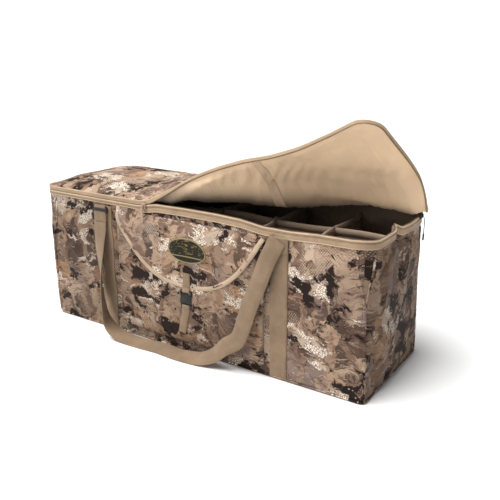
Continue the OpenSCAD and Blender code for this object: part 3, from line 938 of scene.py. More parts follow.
def bottom_cloth():
    """The camo bottom, with the seam that stands round it."""
    plan, _ = rounded_ring(HALF_L, HALF_W, FOOT_RADIUS, PER_X, PER_Y, PER_CORNER)
    plan = plan - plan * [[0.0006 / HALF_L, 0.0006 / HALF_W]]
    shrink = np.array([0.02, 0.3, 0.6, 0.85, 1.0])
    rows = [np.concatenate([plan * s, np.full((len(plan), 1), 0.0003)], 1) for s in shrink]
    grid = np.array(rows)[:, ::-1]
    return thick_sheet("bottom_cloth", grid, 0.0022, grid[..., :2] + 3.0, wrap=True)


bottom = mount(bottom_cloth(), "bag", CAMO, "camo_cloth", "bottom_panel")


def foot_seam():
    """Corded seam round the foot of the walls."""
    plan, outward = rounded_ring(HALF_L, HALF_W, FOOT_RADIUS, PER_X, PER_Y, PER_CORNER)
    height = np.full((len(plan), 1), 0.0045)
    path = np.concatenate([plan + outward * 0.0012, height], 1)
    side = np.concatenate([outward, np.zeros_like(height)], 1)
    return sweep("foot_seam", path, side, all_along(path, UP), round_section(0.0022, 8), closed=True)


def corner_seam_line(sx, sy, split):
    """One raised line up a corner. Near the rim it parts from the corner's other line."""
    line = []
    for z in np.linspace(0.010, 0.376, 60):
        angle = math.radians(45 + split * (20 * float(smooth((z - 0.24) / 0.12)) + 1.5))
        heading = Vector((sx * math.sin(angle), sy * math.cos(angle), 0))
        radius = corner_radius(z)
        core = Vector((sx * (HALF_L - radius), sy * (HALF_W - radius), z))
        line.append(on_surface(BODY_TREE, core + heading * 0.2, -heading, 0.0006))
    return np.array(line)


def corner_seams():
    """Raised seams up the four corners, which split in two near the rim."""
    pieces = []
    half = math.sqrt(0.5)
    for sx, sy, split in itertools.product((-1, 1), (-1, 1), (-1, 1)):
        path = corner_seam_line(sx, sy, split)
        side, out = all_along(path, (sx * half, -sy * half, 0)), all_along(path, (sx * half, sy * half, 0))
        pieces.append(sweep("corner_seam", path, side, out, round_section(0.0034, 8, 0.8)))
    return join_meshes("corner_seams", pieces)


def borrow_cloth(piece):
    """Gives a seam the print of the wall it is sewn into."""
    tree = KDTree(body_outer.size // 3)
    for i, p in enumerate(body_outer.reshape(-1, 3)):
        tree.insert(Vector(p), i)
    tree.balance()
    flat = body_flat.reshape(-1, 2)
    found = np.array([flat[tree.find(Vector(p))[1]] for p in get_points(piece)])
    loops = np.zeros(len(piece.data.loops), np.int32)
    piece.data.loops.foreach_get("vertex_index", loops)
    piece.data.uv_layers["Cloth"].data.foreach_set("uv", found[loops].ravel())


for seam in (foot_seam(), corner_seams()):
    borrow_cloth(mount(seam, "bag", CAMO, "camo_cloth"))


def tape_rise(x):
    """How much higher the rim's tape ends on the shut left part, where the zip pulls it narrow."""
    return 0.010 * smooth((FOLD_POINT.x - x) / 0.05)


for place, sx, side in (("front_band_left", -1, -1), ("front_band_right", 1, -1),
                        ("rear_band_left", -1, 1), ("rear_band_right", 1, 1)):
    band = laid_band(place + "_strip", sx * BAND_X, side)
    mount(band, "bag", WEBBING, "tan_webbing", place)


def zip_band(name, low, high, shape, rise=1.0):
    """Tape round the front and both ends, between two heights, on the outside of the wall. shape is
    rim_sag or fold, and rise is the foot's share of the rise on the shut part."""
    plan, outward = zip_run()
    share = np.linspace(0, 1, 7)
    heights = low + (high - low) * share
    foot = rise * tape_rise(plan[:, 0])
    profile = TAPE_T + 0.0008 * np.sin(math.pi * share)
    grid = np.array([np.column_stack([plan + outward * out, z + foot * (1 - t)])
                     for z, out, t in zip(heights, profile, share)])
    tape = thick_sheet(name, shape(grid), TAPE_T, flat_map(run_along(plan)[None, :], heights[:, None]))
    return dress(tape, TAPE)


def zip_cord(name, height, out, radius, shape, material, rise=0.0):
    """A round cord that runs with the zip."""
    plan, outward = zip_run()
    path = np.column_stack([plan + outward * out, height + rise * tape_rise(plan[:, 0])])
    side = np.concatenate([outward, np.zeros((len(plan), 1))], 1)
    cord = sweep(name, path, side, all_along(path, UP), round_section(radius, 8))
    set_points(cord, shape(get_points(cord)))
    return dress(cord, material)


TOOTH_PITCH = 0.0028


def zip_teeth(name, low, high, shape):
    """Moulded teeth along the zip, one small block each."""
    plan, outward = zip_run(0.0008)
    run = run_along(plan)
    stops = np.arange(TOOTH_PITCH / 2, run[-1], TOOTH_PITCH)
    centre = np.stack([np.interp(stops, run, plan[:, k]) for k in (0, 1)], 1)
    out = unit_rows(np.stack([np.interp(stops, run, outward[:, k]) for k in (0, 1)], 1))
    along = np.stack([-out[:, 1], out[:, 0]], 1)
    verts, faces = [], []
    for i in range(len(stops)):
        base = len(verts)
        for z, size in ((low, 1.0), (high, 0.75)):
            for a, b in ((-1, -1), (1, -1), (1, 1), (-1, 1)):
                p = centre[i] + along[i] * a * TOOTH_PITCH * 0.36 * size + out[i] * b * 0.0016 * size
                verts.append((p[0], p[1], z))
        faces += [(base, base + 3, base + 2, base + 1), (base + 4, base + 5, base + 6, base + 7)]
        faces += [(base + k, base + (k + 1) % 4, base + 4 + (k + 1) % 4, base + 4 + k) for k in range(4)]
    verts = np.array(verts)
    teeth = make_mesh(name, shape(verts), faces, verts[:, :2], shade_smooth=False)
    face_outwards(teeth)
    return dress(teeth, TEETH)


rim_tape = zip_band("rim_tape", TAPE_LOW, WALL_TOP + 0.0005, rim_sag)
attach(rim_tape, "bag")
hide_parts("rim_zip_tape")
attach(zip_cord("rim_piping", WALL_TOP + 0.0005, 0.0012, 0.0024, rim_sag, BINDING), "bag")
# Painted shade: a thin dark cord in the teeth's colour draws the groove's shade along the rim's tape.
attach(zip_cord("rim_groove_painted_shade", WALL_TOP - 0.0050, TAPE_T + 0.0006, 0.0009, rim_sag, TEETH), "bag")
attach(zip_cord("rim_hem", TAPE_LOW + 0.0015, TAPE_T - 0.0002, 0.0014, rim_sag, BINDING, 1.0), "bag")
rim_teeth = zip_teeth("rim_teeth", WALL_TOP, RIM_Z, rim_sag)
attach(rim_teeth, "bag")
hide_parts("rim_zip_chain")


LINING_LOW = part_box("inner_lining")[0].z


def inner_skin():
    """Lining on the inside of the walls, down to the board."""
    first = int(np.searchsorted(BODY_HEIGHTS, LINING_LOW))
    grid = (body_outer - grid_normals(body_outer, True) * (WALL_T + 0.0008))[first:]
    return thick_sheet("inner_skin", grid, 0.0010, body_flat[first:], wrap=True)


skin = mount(inner_skin(), "bag", INNER_SATIN_PAINTED_SHADE, "lining_cloth", "inner_lining")

frame["nodes"]["base_board"].data.materials.clear()
frame["nodes"]["base_board"].data.materials.append(BOARD)

# ---------------------------------------------------------------- padded dividers


DIVIDER_LOW, DIVIDER_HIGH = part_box("long_divider")
DIVIDER_T = DIVIDER_HIGH.y - DIVIDER_LOW.y
EDGE_GAP = 0.006
LEVELS = 24


def divider(node, start, end, seed):
    """A padded panel that stands between two points, with a bound top edge that dips and leans."""
    low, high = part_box(node)[0].z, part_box(node)[1].z
    start, end = np.asarray(start, float), np.asarray(end, float)
    length = float(np.linalg.norm(end - start))
    along = (end - start) / length
    side = np.array([along[1], -along[0]])
    count = max(12, int(length / 0.012))
    s = np.linspace(0, 1, count)
    run = s * length
    sway = 0.004 * np.sin(run * 21 + seed) * np.sin(math.pi * s)
    dip = 0.005 + 0.004 * np.sin(run * 17 + seed * 2.3)
    dip = dip * smooth(run / 0.02) * smooth((length - run) / 0.02)
    base = start[None, :] + along[None, :] * run[:, None]
    rows = 2 * LEVELS
    levels = np.linspace(0, 1, LEVELS)
    grid = np.zeros((rows, count, 3))
    for k in range(rows):
        face, level = (1, levels[k]) if k < LEVELS else (-1, levels[rows - 1 - k])
        swell = DIVIDER_T / 2 * (0.80 + 0.35 * math.sin(math.pi * level))
        grid[k, :, :2] = base + side[None, :] * (sway * level + face * swell)[:, None]
        grid[k, :, 2] = low + (high - EDGE_GAP - dip - low) * level
    flat = flat_map(run[None, :], np.linspace(0, 0.8, rows)[:, None])
    faces = [list(f) for f in grid_faces(rows, count)]
    last = (rows - 1) * count
    faces += [[last + c, last + c + 1, c + 1, c] for c in range(count - 1)]
    faces.append([k * count for k in range(rows)])
    faces.append([k * count + count - 1 for k in reversed(range(rows))])
    panel = make_mesh(node + "_pad", grid.reshape(-1, 3), faces, flat.reshape(-1, 2))
    face_outwards(panel)
    mount(panel, "bag", DIVIDER_CLOTH, "padded_cloth", node)
    top = np.column_stack([base + side[None, :] * sway[:, None], high - 0.009 - dip])
    edge = divider_edge(node + "_edge", top, (side[0], side[1], 0), DIVIDER_T / 2 + 0.0016)
    mount(edge, "bag", DIVIDER_EDGE, "padded_cloth")


def divider_edge(name, path, across, half):
    """Binding folded over the top edge of a divider."""
    right = [(half, -0.009), (half, 0.002), (half * 0.8, 0.0065), (half * 0.3, 0.0088)]
    section = [(-a, b) for a, b in right] + right[::-1]
    return sweep(name, path, all_along(path, across), all_along(path, UP), section)


divider("long_divider", (DIVIDER_LOW.x, 0), (DIVIDER_HIGH.x, 0), 0.4)
for number in range(1, 6):
    for row, phase in (("front", 0), ("rear", 1)):
        node = f"{row}_divider_{number}"
        low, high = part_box(node)
        middle = (low.x + high.x) / 2
        divider(node, (middle, low.y), (middle, high.y), number * 1.3 + phase)

# ---------------------------------------------------------------- lid

LID_PAD = 0.0055
LEFT_CROWN = 0.87


def lid_plan():
    """x positions across the lid and its front and back edges at each, finer round the corners."""
    turn = np.radians(np.linspace(90, 0, 12))
    tight = RIM_RADIUS * TIGHT_CORNER
    left = -(HALF_L - tight) - tight * np.sin(turn)
    right = HALF_L - RIM_RADIUS + RIM_RADIUS * np.sin(turn[::-1])
    straight = np.linspace(-(HALF_L - tight), HALF_L - RIM_RADIUS, 132)[1:-1]
    x = np.concatenate([left, straight, right])

    def edge(radius, past):
        past = np.clip(past, 0, radius)
        return HALF_W - radius + np.sqrt(np.maximum(radius ** 2 - past ** 2, 0))

    by_tight = np.minimum(edge(tight, -x - (HALF_L - tight)), edge(tight, x - (HALF_L - tight)))
    front = np.minimum(edge(tight, -x - (HALF_L - tight)), edge(RIM_RADIUS, x - (HALF_L - RIM_RADIUS)))
    return x, front, by_tight


def lid_grid(drop, inset, crown_part=1.0, rows=54):
    """The shut lid: rows from front to back, columns from left to right."""
    x, front, back = lid_plan()
    t = np.sin(np.linspace(-math.pi / 2, math.pi / 2, rows))
    t = 0.55 * t + 0.45 * np.linspace(-1, 1, rows)
    gx = np.broadcast_to(x * (1 - inset / HALF_L), (rows, len(x)))
    gy = t[:, None] * np.where(t[:, None] < 0, (front - inset)[None, :], (back - inset)[None, :])
    share = np.abs(x / HALF_L)
    left = LEFT_CROWN * (1 - share ** 14) + (1 - LEFT_CROWN) * smooth((x + 0.25) / 0.25)
    across = np.where(x < 0, left, 1 - share ** 7)
    swell = across[None, :] * (1 - np.abs(t[:, None]) ** 4)
    flat = np.stack([gx, gy], 2)
    puff = lid_puff(flat) * np.minimum(1, swell * 3)
    height = SEAM_Z + (LID_CROWN * swell + puff) * crown_part - drop
    return np.dstack([flat, height]), flat


def lid_puff(flat):
    """Soft unevenness of the quilted lid, the same for the cloth and for its lining."""
    ground = np.dstack([flat, np.zeros(flat.shape[:2])])
    return wobble(ground, 13.0, 2.0) * 0.0024 + wobble(ground, 31.0, 5.0) * 0.0011


def lid_cloth():
    grid, flat = lid_grid(0.0, 0.0)
    _, front, back = lid_plan()
    reach = np.where(grid[..., 1] < 0, front[None, :], back[None, :])
    margin = np.minimum(HALF_L - np.abs(grid[..., 0]), reach - np.abs(grid[..., 1]))
    padding = LID_PAD * (0.2 + 0.8 * smooth(margin / 0.035))
    return thick_sheet("lid_cloth", fold(grid), padding[..., None], flat)


lid = lid_cloth()
bend_with_lid(dress(lid, CAMO_LID_PAINTED_LIGHT), "lid_fixed_panel", "lid_flap_panel")


def lining_creases(grid):
    """Folds of the satin, always away from the lid: it sags and fans out from the bend, and lies in
    long rolls near the back right corner."""
    rel = grid - np.array(FOLD_POINT)
    along = -(rel @ np.array(FOLD_AXIS)) / FOLD_LENGTH
    out = rel @ np.array(FOLD_FRONT)
    open_part = smooth((out + 0.02) / 0.05)
    level = grid * [[[1, 1, 0]]]
    phase = along * 62 + wobble(level, 7.0, 1.0) * 7
    near_slider = 1 - smooth((along - 0.50) / 0.25)
    sag = -0.022 * hump(out, 0.045, 0.060) * near_slider
    fan = 0.0060 * (np.abs(np.sin(phase)) - 1) * hump(out, 0.115, 0.050)
    fine = 0.0034 * (wobble(level, 22.0, 3.0) - 1) + 0.0018 * (wobble(level, 50.0, 8.0) - 1)
    rolls = 0.0065 * (np.sin(out * 150 + along * 12) - 1) * (1 - near_slider)
    return (sag + fan + fine + rolls * hump(out, 0.05, 0.06)) * open_part


LINING_DROP = LID_PAD + 0.0030


def lining_grid():
    grid, flat = lid_grid(LINING_DROP, 0.0008, 0.93)
    rim = 1 - np.abs(grid[..., 1]) / HALF_W
    hold = smooth(rim / 0.12) * smooth((HALF_L - np.abs(grid[..., 0])) / 0.04)
    grid[..., 2] += lining_creases(grid) * hold
    return grid, flat


def lid_lining():
    grid, flat = lining_grid()
    return thick_sheet("lid_lining", fold(grid), 0.0012, flat, behind=False)


lining = lid_lining()
bend_with_lid(dress(lining, LINING), "lid_fixed_lining", "lid_flap_lining")

bend_with_lid(zip_band("lid_tape", LID_TAPE_LOW, SEAM_Z + 0.0005, fold, 0.0),
              "lid_fixed_zip_tape", "lid_flap_zip_tape")
bend_with_lid(zip_cord("lid_piping", SEAM_Z + 0.0005, 0.0008, 0.0022, fold, BINDING))
bend_with_lid(zip_teeth("lid_teeth", LID_TAPE_LOW + 0.0030, LID_TAPE_LOW, fold),
              "lid_fixed_zip_chain", "lid_flap_zip_chain")

STRAP_X = 0.212
STRAP_FOLD_Y = FOLD_POINT.y + (STRAP_X - FOLD_POINT.x) * FOLD_AXIS.y / FOLD_AXIS.x
STRAP_Y = np.linspace(-HALF_W + 0.006, STRAP_FOLD_Y - 0.004, 60)


def lid_strap():
    """Narrow tape sewn across the lining of the open part."""
    grid, _ = lining_grid()
    tree = BVHTree.FromPolygons([tuple(p) for p in grid.reshape(-1, 3)],
                                [tuple(int(i) for i in f) for f in grid_faces(*grid.shape[:2])])
    x = STRAP_X + np.linspace(-STRAP_W / 2, STRAP_W / 2, 7)
    points = np.array([[on_surface(tree, (a, b, 0.2), (0, 0, 1), 0.0012) for a in x] for b in STRAP_Y])
    flat = flat_map(STRAP_Y[:, None], (x - STRAP_X)[None, :])
    return thick_sheet("lid_strap", fold(points), 0.0020, flat, behind=False)


strap = lid_strap()
bend_with_lid(dress(strap, LINING_TAPE), "lid_inner_strap")


def hinge_binding():
    """Bound strip that joins the lid to the body along the back."""
    low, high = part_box("rear_hinge_binding")
    x = np.linspace(low.x, high.x, 90)
    z = np.linspace(low.z - 0.008, high.z + 0.002, 9)
    gx, gz = np.broadcast_arrays(x[None, :], z[:, None])
    out = 0.0022 + 0.0010 * np.sin((gz - low.z) / (high.z - low.z) * math.pi)
    gy = HALF_W + out
    grid = np.stack([gx, gy, gz], 2)[:, ::-1]
    return thick_sheet("back_binding", rim_sag(grid), 0.002, np.stack([gx, gz], 2))


mount(hinge_binding(), "bag", TAPE, "tan_tape", "rear_hinge_binding")

# ---------------------------------------------------------------- pocket and flap


def pocket_outline(radius=0.008):
    """Plan of the pocket from the wall, out, along its front and back to the wall."""
    sides = np.linspace(-HALF_W + 0.002, POCKET_Y + radius, 6)
    turn = np.radians(np.linspace(0, 90, 6)[1:-1])
    left = [(-POCKET_HALF, y) for y in sides]
    left += [(-POCKET_HALF + radius * (1 - math.cos(a)), POCKET_Y + radius * (1 - math.sin(a))) for a in turn]
    front = [(x, POCKET_Y) for x in np.linspace(-POCKET_HALF + radius, POCKET_HALF - radius, 70)]
    return np.array(left + front + [(-x, y) for x, y in reversed(left)])


def pocket_shell():
    plan = pocket_outline()
    heights = np.linspace(POCKET_LOW, POCKET_TOP, 52)
    rows = []
    for z in heights:
        foot = 0.006 * (1 - float(smooth((z - POCKET_LOW) / 0.012)))
        rows.append(np.column_stack([plan + [[0, foot]], np.full(len(plan), z)]))
    grid = np.array(rows)
    x, z = grid[..., 0], grid[..., 2]
    pins = ((np.abs(x) > POCKET_HALF - 0.010) | (z < POCKET_LOW + 0.006)) * 1.0
    give = smooth((POCKET_TOP - 0.10 - z) / 0.12)
    soft = relax(grid, False, pins, 0.022, 0.8, 0.008, give)
    soft[..., 1] = np.minimum(soft[..., 1], np.array(rows)[..., 1] + 0.001)
    return thick_sheet("pocket_cloth", soft, 0.002, flat_map(run_along(plan)[None, :], heights[:, None]))


pocket = mount(pocket_shell(), "bag", CAMO_POCKET_PAINTED_SHADE, "camo_cloth", "pocket_gusset", "pocket_panel")

FLAP_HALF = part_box("flap_root")[1].x
FLAP_SEAM_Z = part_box("flap_root")[1].z
FLAP_CURVE = 0.176
HEM_W = 0.0110
HEM_T = 0.0022
SEWN_LOW = 0.345


def flap_edge_z(x):
    """Height of the curved edge of the flap at x."""
    return FLAP_LOW + FLAP_CURVE * (np.abs(x) / FLAP_HALF) ** 2.6


def flap_grid(columns=96, rows=50):
    """The closed flap: rows from its seam under the zip down to its curved edge."""
    x = np.linspace(-FLAP_HALF, FLAP_HALF, columns)
    low = flap_edge_z(x)
    seam = FLAP_SEAM_Z + tape_rise(x)
    share = np.linspace(0, 1, rows)
    z = seam[None, :] + (low - seam)[None, :] * share[:, None]
    gx = np.broadcast_to(x[None, :], z.shape)
    away = smooth((FLAP_SEAM_Z - z) / 0.030)
    y = -HALF_W - 0.0016 + (FLAP_Y + HALF_W + 0.0016) * away
    side = smooth((FLAP_HALF - np.abs(gx)) / 0.03)
    ripple = 0.0016 * np.sin(gx * 55 + z * 21) * hump(z, 0.30, 0.08)
    y = y + ripple * side * away * 0.6 + (1 - side) * 0.0012
    return np.stack([gx, y, z], 2), np.stack([gx, z], 2)


def bend_with_flap(piece, *nodes):
    """Bakes a dressed piece's place into its mesh and puts it in the place of CAD nodes."""
    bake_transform(piece)
    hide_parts(*nodes)


def flap_cloth():
    grid, flat = flap_grid()
    x, z = grid[..., 0], grid[..., 2]
    pins = smooth((z - SEWN_LOW) / 0.012) + (np.abs(x) > FLAP_HALF - 0.008) * 0.7
    rows = np.linspace(0, 1, grid.shape[0])[:, None]
    pins = np.maximum(pins, 0.75 * (rows > 0.96))
    soft = relax(grid, False, np.minimum(pins, 1), 0.018, 0.5, 0.005, 0.9)
    soft[..., 1] = np.minimum(soft[..., 1], grid[..., 1] + 0.0004)
    return soft, flat


flap_points, flap_flat = flap_cloth()
flap = thick_sheet("flap_cloth", flap_points[:, ::-1], 0.0024, flap_flat[:, ::-1])
bend_with_flap(dress(flap, CAMO_FLAP), "flap_panel", "flap_root")
FLAP_TREE = BVHTree.FromObject(flap, bpy.context.evaluated_depsgraph_get())


def on_flap(x, z, lift):
    """The point of the flap's face at x and z, lifted off it."""
    return on_surface(FLAP_TREE, (x, -0.4, z), (0, 1, 0), lift)


def flap_hem():
    """Tan tape bound over the curved edge."""
    path = flap_points[-1] + np.array([0, 0.0012, 0])
    along = unit_rows(np.gradient(path, axis=0))
    inward = unit_rows(np.stack([-along[:, 2], np.zeros(len(path)), along[:, 0]], 1))
    inward *= np.where(inward[:, 2:3] < 0, -1, 1)
    section = [(-0.0012, -HEM_T * 0.6), (-0.0016, 0), (-0.0012, HEM_T * 0.6), (0.001, HEM_T), (HEM_W, HEM_T),
               (HEM_W + 0.0004, 0), (HEM_W, -HEM_T), (0.001, -HEM_T)]
    return sweep("flap_hem", path, inward, all_along(path, (0, -1, 0)), section)


bend_with_flap(dress(flap_hem(), HEM_TAPE), "flap_binding")


def oval_ring(centre, a, b, share, around):
    """Points on the flap, round an ellipse that is a share of the patch."""
    return np.array([on_flap(centre.x + a * share * math.cos(w), centre.z + b * share * math.sin(w), 0.0016)
                     for w in around])


def oval_patch():
    """Woven oval badge on the flap, and its overlocked border."""
    low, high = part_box("patch_border")
    centre = (low + high) / 2
    a, b = (high.x - low.x) / 2, (high.z - low.z) / 2
    around = np.arange(96) * math.tau / 96
    shares = (0.02, 0.2, 0.4, 0.6, 0.75, 0.88, 0.95)
    grid = np.array([oval_ring(centre, a, b, share, around) for share in shares])
    flat = (grid - np.array(centre))[..., [0, 2]]
    badge = thick_sheet("badge", grid, 0.0014, flat, wrap=True)
    rims = []
    for share, thick in ((1.0, 0.0022), (0.89, 0.0013)):
        path = oval_ring(centre, a, b, share, around)
        side = unit_rows((path - np.array(centre)) * [[1, 0, 1]])
        rims.append(sweep("badge_rim", path, side, all_along(path, (0, -1, 0)), round_section(thick, 8, 0.8),
                          closed=True))
    return badge, join_meshes("badge_border", rims)


badge, badge_border = oval_patch()
mount(badge, "flap", PATCH, "patch_cloth", "oval_patch")
mount(badge_border, "flap", THREAD, "patch_thread", "patch_border")

# ---------------------------------------------------------------- buckle

TAB_LOW, TAB_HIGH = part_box("flap_tab_webbing")
TAB_X = (TAB_LOW.x + TAB_HIGH.x) / 2
SOCKET_LOW, SOCKET_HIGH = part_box("buckle_female")
PLUG_LOW, PLUG_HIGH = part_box("buckle_male")
TAIL_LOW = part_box("buckle_tail")[0]
ANCHOR_LOW, ANCHOR_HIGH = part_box("anchor_webbing")
STRAP_T = 0.0018


def level_ribbon(name, path, width=STRAP_W, thickness=STRAP_T):
    """Webbing along a path, with its width along x."""
    return ribbon(name, path, all_along(path, (1, 0, 0)), width, thickness)


def strap_tab():
    """Narrow webbing sewn to the flap, looped through the top bar of the socket."""
    heights = np.linspace(TAB_HIGH.z + 0.002, FLAP_LOW + 0.004, 16)
    bar_y = (SOCKET_LOW.y + SOCKET_HIGH.y) / 2
    line = [on_flap(TAB_X, z, 0.0012) for z in heights]
    line += [(TAB_X, bar_y - 0.0022, SOCKET_HIGH.z + 0.0005), (TAB_X, bar_y - 0.0032, SOCKET_HIGH.z - 0.004),
             (TAB_X, bar_y, SOCKET_HIGH.z - 0.0075)]
    return level_ribbon("strap_tab", curve_through(line, 3))


def buckle_socket():
    """Moulded socket: a rounded shell with two side windows, a raised middle and a webbing bar."""
    x0, y0, z0 = SOCKET_LOW
    x1, y1, z1 = SOCKET_HIGH
    inset = (x1 - x0) * 0.30
    blocks = [((x0 + 0.002, y0, z0), (x1 - 0.002, y0 + 0.0022, z1 - 0.013), 0.001),
              ((x0, y0, z1 - 0.017), (x1, y1, z1 - 0.011), 0.0014),
              ((x0, y0, z0), (x1, y1, z0 + 0.005), 0.0014),
              ((x0 + 0.001, y0, z1 - 0.004), (x1 - 0.001, y0 + 0.005, z1), 0.0016),
              ((x0, y0, z1 - 0.016), (x0 + 0.004, y0 + 0.006, z1 - 0.001), 0.0016),
              ((x1 - 0.004, y0, z1 - 0.016), (x1, y0 + 0.006, z1 - 0.001), 0.0016),
              ((x0 + inset, y0 - 0.001, z0 + 0.006), (x1 - inset, y1 - 0.001, z1 - 0.014), 0.0018)]
    return join_meshes("buckle_socket", [soft_box("block", *block) for block in blocks])


def buckle_plug():
    """Two sprung arms and a guide on a ladder bar."""
    x0, y0, z0 = PLUG_LOW
    x1, y1, z1 = PLUG_HIGH
    top = z0 + 0.013
    blocks = [((x0, y0, top - 0.004), (x1, y1, top), 0.0012),
              ((x0, y0, z0), (x1, y1, z0 + 0.0035), 0.0012),
              ((x0, y0, z0), (x0 + 0.004, y1, top), 0.0012),
              ((x1 - 0.004, y0, z0), (x1, y1, top), 0.0012),
              ((x0 + 0.0042, y0 + 0.0012, z0 + 0.006), (x1 - 0.0042, y1 - 0.001, z0 + 0.0085), 0.0008)]
    pieces = [soft_box("block", *block) for block in blocks]
    for side in (-1, 1):
        x = (x0 + x1) / 2 + side * (x1 - x0) * 0.36
        line = curve_through([(x - side * 0.002, 0, top - 0.001), (x, 0, top + 0.012),
                              (x + side * 0.0015, 0, z1 - 0.008), (x - side * 0.0015, 0, z1)], 5)
        line[:, 1] = (y0 + y1) / 2
        pieces.append(sweep("arm", line, all_along(line, (1, 0, 0)), all_along(line, (0, 1, 0)),
                            round_section(0.0026, 10, 0.75)))
    return join_meshes("buckle_plug", pieces)


def tail_strap():
    """Loose end of the narrow webbing, over the ladder bar and down."""
    bar_z = PLUG_LOW.z + 0.007
    y = PLUG_LOW.y - 0.0016
    tail = [(TAB_X, y + 0.003, bar_z + 0.0050), (TAB_X, y - 0.0006, bar_z + 0.0036),
            (TAB_X, y - 0.0014, bar_z), (TAB_X, y - 0.0008, bar_z - 0.0045),
            (TAB_X - 0.002, y + 0.0010, bar_z - 0.016), (TAB_X - 0.008, y + 0.0004, 0.110),
            (TAB_X - 0.014, y + 0.0016, 0.085), (TAB_X - 0.018, y + 0.0006, TAIL_LOW.z)]
    return level_ribbon("buckle_tail_strap", curve_through(tail, 8))


def anchor_strap():
    """The sewn length of the narrow webbing behind its loose end."""
    sewn = [(TAB_X, ANCHOR_LOW.y + 0.0012, z) for z in np.linspace(ANCHOR_LOW.z, ANCHOR_HIGH.z - 0.004, 14)]
    sewn += [(TAB_X, ANCHOR_LOW.y - 0.0010, ANCHOR_HIGH.z)]
    return level_ribbon("anchor_strap", curve_through(sewn, 3))


mount(strap_tab(), "flap", WEBBING, "tan_webbing", "flap_tab_webbing")
mount(buckle_socket(), "flap", BLACK, "black_plastic", "buckle_female")
mount(buckle_plug(), "buckle_plug", BLACK, "black_plastic", "buckle_male")
mount(tail_strap(), "buckle_plug", WEBBING, "tan_webbing", "buckle_tail")
mount(anchor_strap(), "bag", WEBBING, "tan_webbing", "anchor_webbing")

# ---------------------------------------------------------------- carry handles

# The middle of the front handle's webbing, from its ring to its sewn end, and its width's direction.
HANDLE_ROUTE = [
    (-0.311, -0.1815, 0.3660), (-0.3125, -0.1870, 0.320), (-0.313, -0.195, 0.250), (-0.309, -0.203, 0.180),
    (-0.301, -0.210, 0.115), (-0.286, -0.216, 0.060), (-0.258, -0.220, 0.026), (-0.215, -0.221, 0.0085),
    (-0.150, -0.219, 0.0055), (-0.080, -0.215, 0.0070), (-0.005, -0.218, 0.0065), (0.060, -0.215, 0.013),
    (0.110, -0.212, 0.034), (0.150, -0.211, 0.070), (0.188, -0.210, 0.100), (0.2075, -0.206, 0.150),
    (0.219, -0.203, 0.190), (0.247, -0.195, 0.270), (0.268, -0.189, 0.330), (0.2940, -0.1825, 0.384),
]
HANDLE_WIDTHS = [
    (1, 0, 0), (1, 0, 0), (0.9, -0.35, 0), (0.7, -0.7, 0), (0.6, -0.8, 0), (0.45, -0.88, -0.1),
    (0.2, -0.95, -0.2), (0.05, -0.97, -0.22), (0, -0.97, -0.22), (0, -0.97, -0.22), (0, -0.97, -0.22),
    (0.15, -0.9, -0.4), (0.45, -0.6, -0.6), (0.75, -0.3, -0.6), (0.90, -0.1, -0.42), (0.93, -0.03, -0.36),
    (0.93, 0, -0.36), (0.93, 0, -0.36), (0.93, 0, -0.36), (0.93, 0, -0.36),
]

RING_BOX_LOW, RING_BOX_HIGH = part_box("front_handle_ring")
RING_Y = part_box("rear_handle_ring")[0].y + 0.0022
RING_LOW, RING_TOP = 0.370, 0.386
BAR_LOW, BAR_TOP = 0.3748, 0.3802
LOOP_X, LOOP_Y = -0.311, 0.181
PAD_X = 0.296


def handle_strap(name, side):
    """One carry handle: webbing that hangs down the wall and lies along the floor. side is -1 for the
    front and 1 for the rear."""
    flip = np.array([1, -side, 1])
    route = np.array(HANDLE_ROUTE) * flip
    widths = np.array(HANDLE_WIDTHS, float) * flip
    path = curve_through(route, 8)
    steps = np.linspace(0, len(route) - 1, len(path))
    across = np.stack([np.interp(steps, np.arange(len(route)), widths[:, k]) for k in range(3)], 1)
    path[:, 2] += 0.0006 * np.sin(np.linspace(0, 40, len(path)))
    return ribbon(name, path, across, WEB_W - 0.002, WEB_T)


def handle_ring(name, side):
    """Black metal ring the left leg hangs from, with a wide bar in front of the webbing."""
    y = RING_Y * side
    x0, x1 = RING_BOX_LOW.x + 0.002, RING_BOX_HIGH.x - 0.002
    corner = 0.003
    loop = []
    for cx, cz, first in ((x1 - corner, RING_TOP - corner, 0), (x0 + corner, RING_TOP - corner, 90),
                          (x0 + corner, RING_LOW + corner, 180), (x1 - corner, RING_LOW + corner, 270)):
        for a in np.radians(first + np.linspace(0, 90, 5)):
            loop.append((cx + corner * math.cos(a), y, cz + corner * math.sin(a)))
    loop = np.array(loop)
    along = unit_rows(np.roll(loop, -1, 0) - np.roll(loop, 1, 0))
    depth = all_along(loop, (0, 1, 0))
    wire = sweep(name, loop, np.cross(along, depth), depth, round_section(0.0020, 10), closed=True)
    near, far = sorted((y + side * 0.0034, y + side * 0.0057))
    bar = soft_box(name, (x0 - 0.001, near, BAR_LOW), (x1 + 0.001, far, BAR_TOP), 0.0010)
    return join_meshes(name, [wire, bar])


def half_turn(y, z, radius):
    """Webbing that goes over a bar, from y + radius to y - radius."""
    return [(LOOP_X, y + radius * math.cos(a), z + abs(radius) * math.sin(a))
            for a in np.radians([0, 45, 90, 135, 180])]


def handle_leg_end(name, side):
    """The left leg's own loop round the lower bar of the ring."""
    y, r = LOOP_Y * side, 0.0036 * side
    line = [(LOOP_X - 0.0002, y + side * 0.0040, 0.340), (LOOP_X, y + r, RING_LOW - 0.006)]
    line += half_turn(y, RING_LOW, r)
    line += [(LOOP_X, y - r * 0.9, RING_LOW - 0.006), (LOOP_X - 0.0002, y + side * 0.0004, 0.345)]
    return level_ribbon(name, curve_through(line, 4), WEB_W - 0.003)


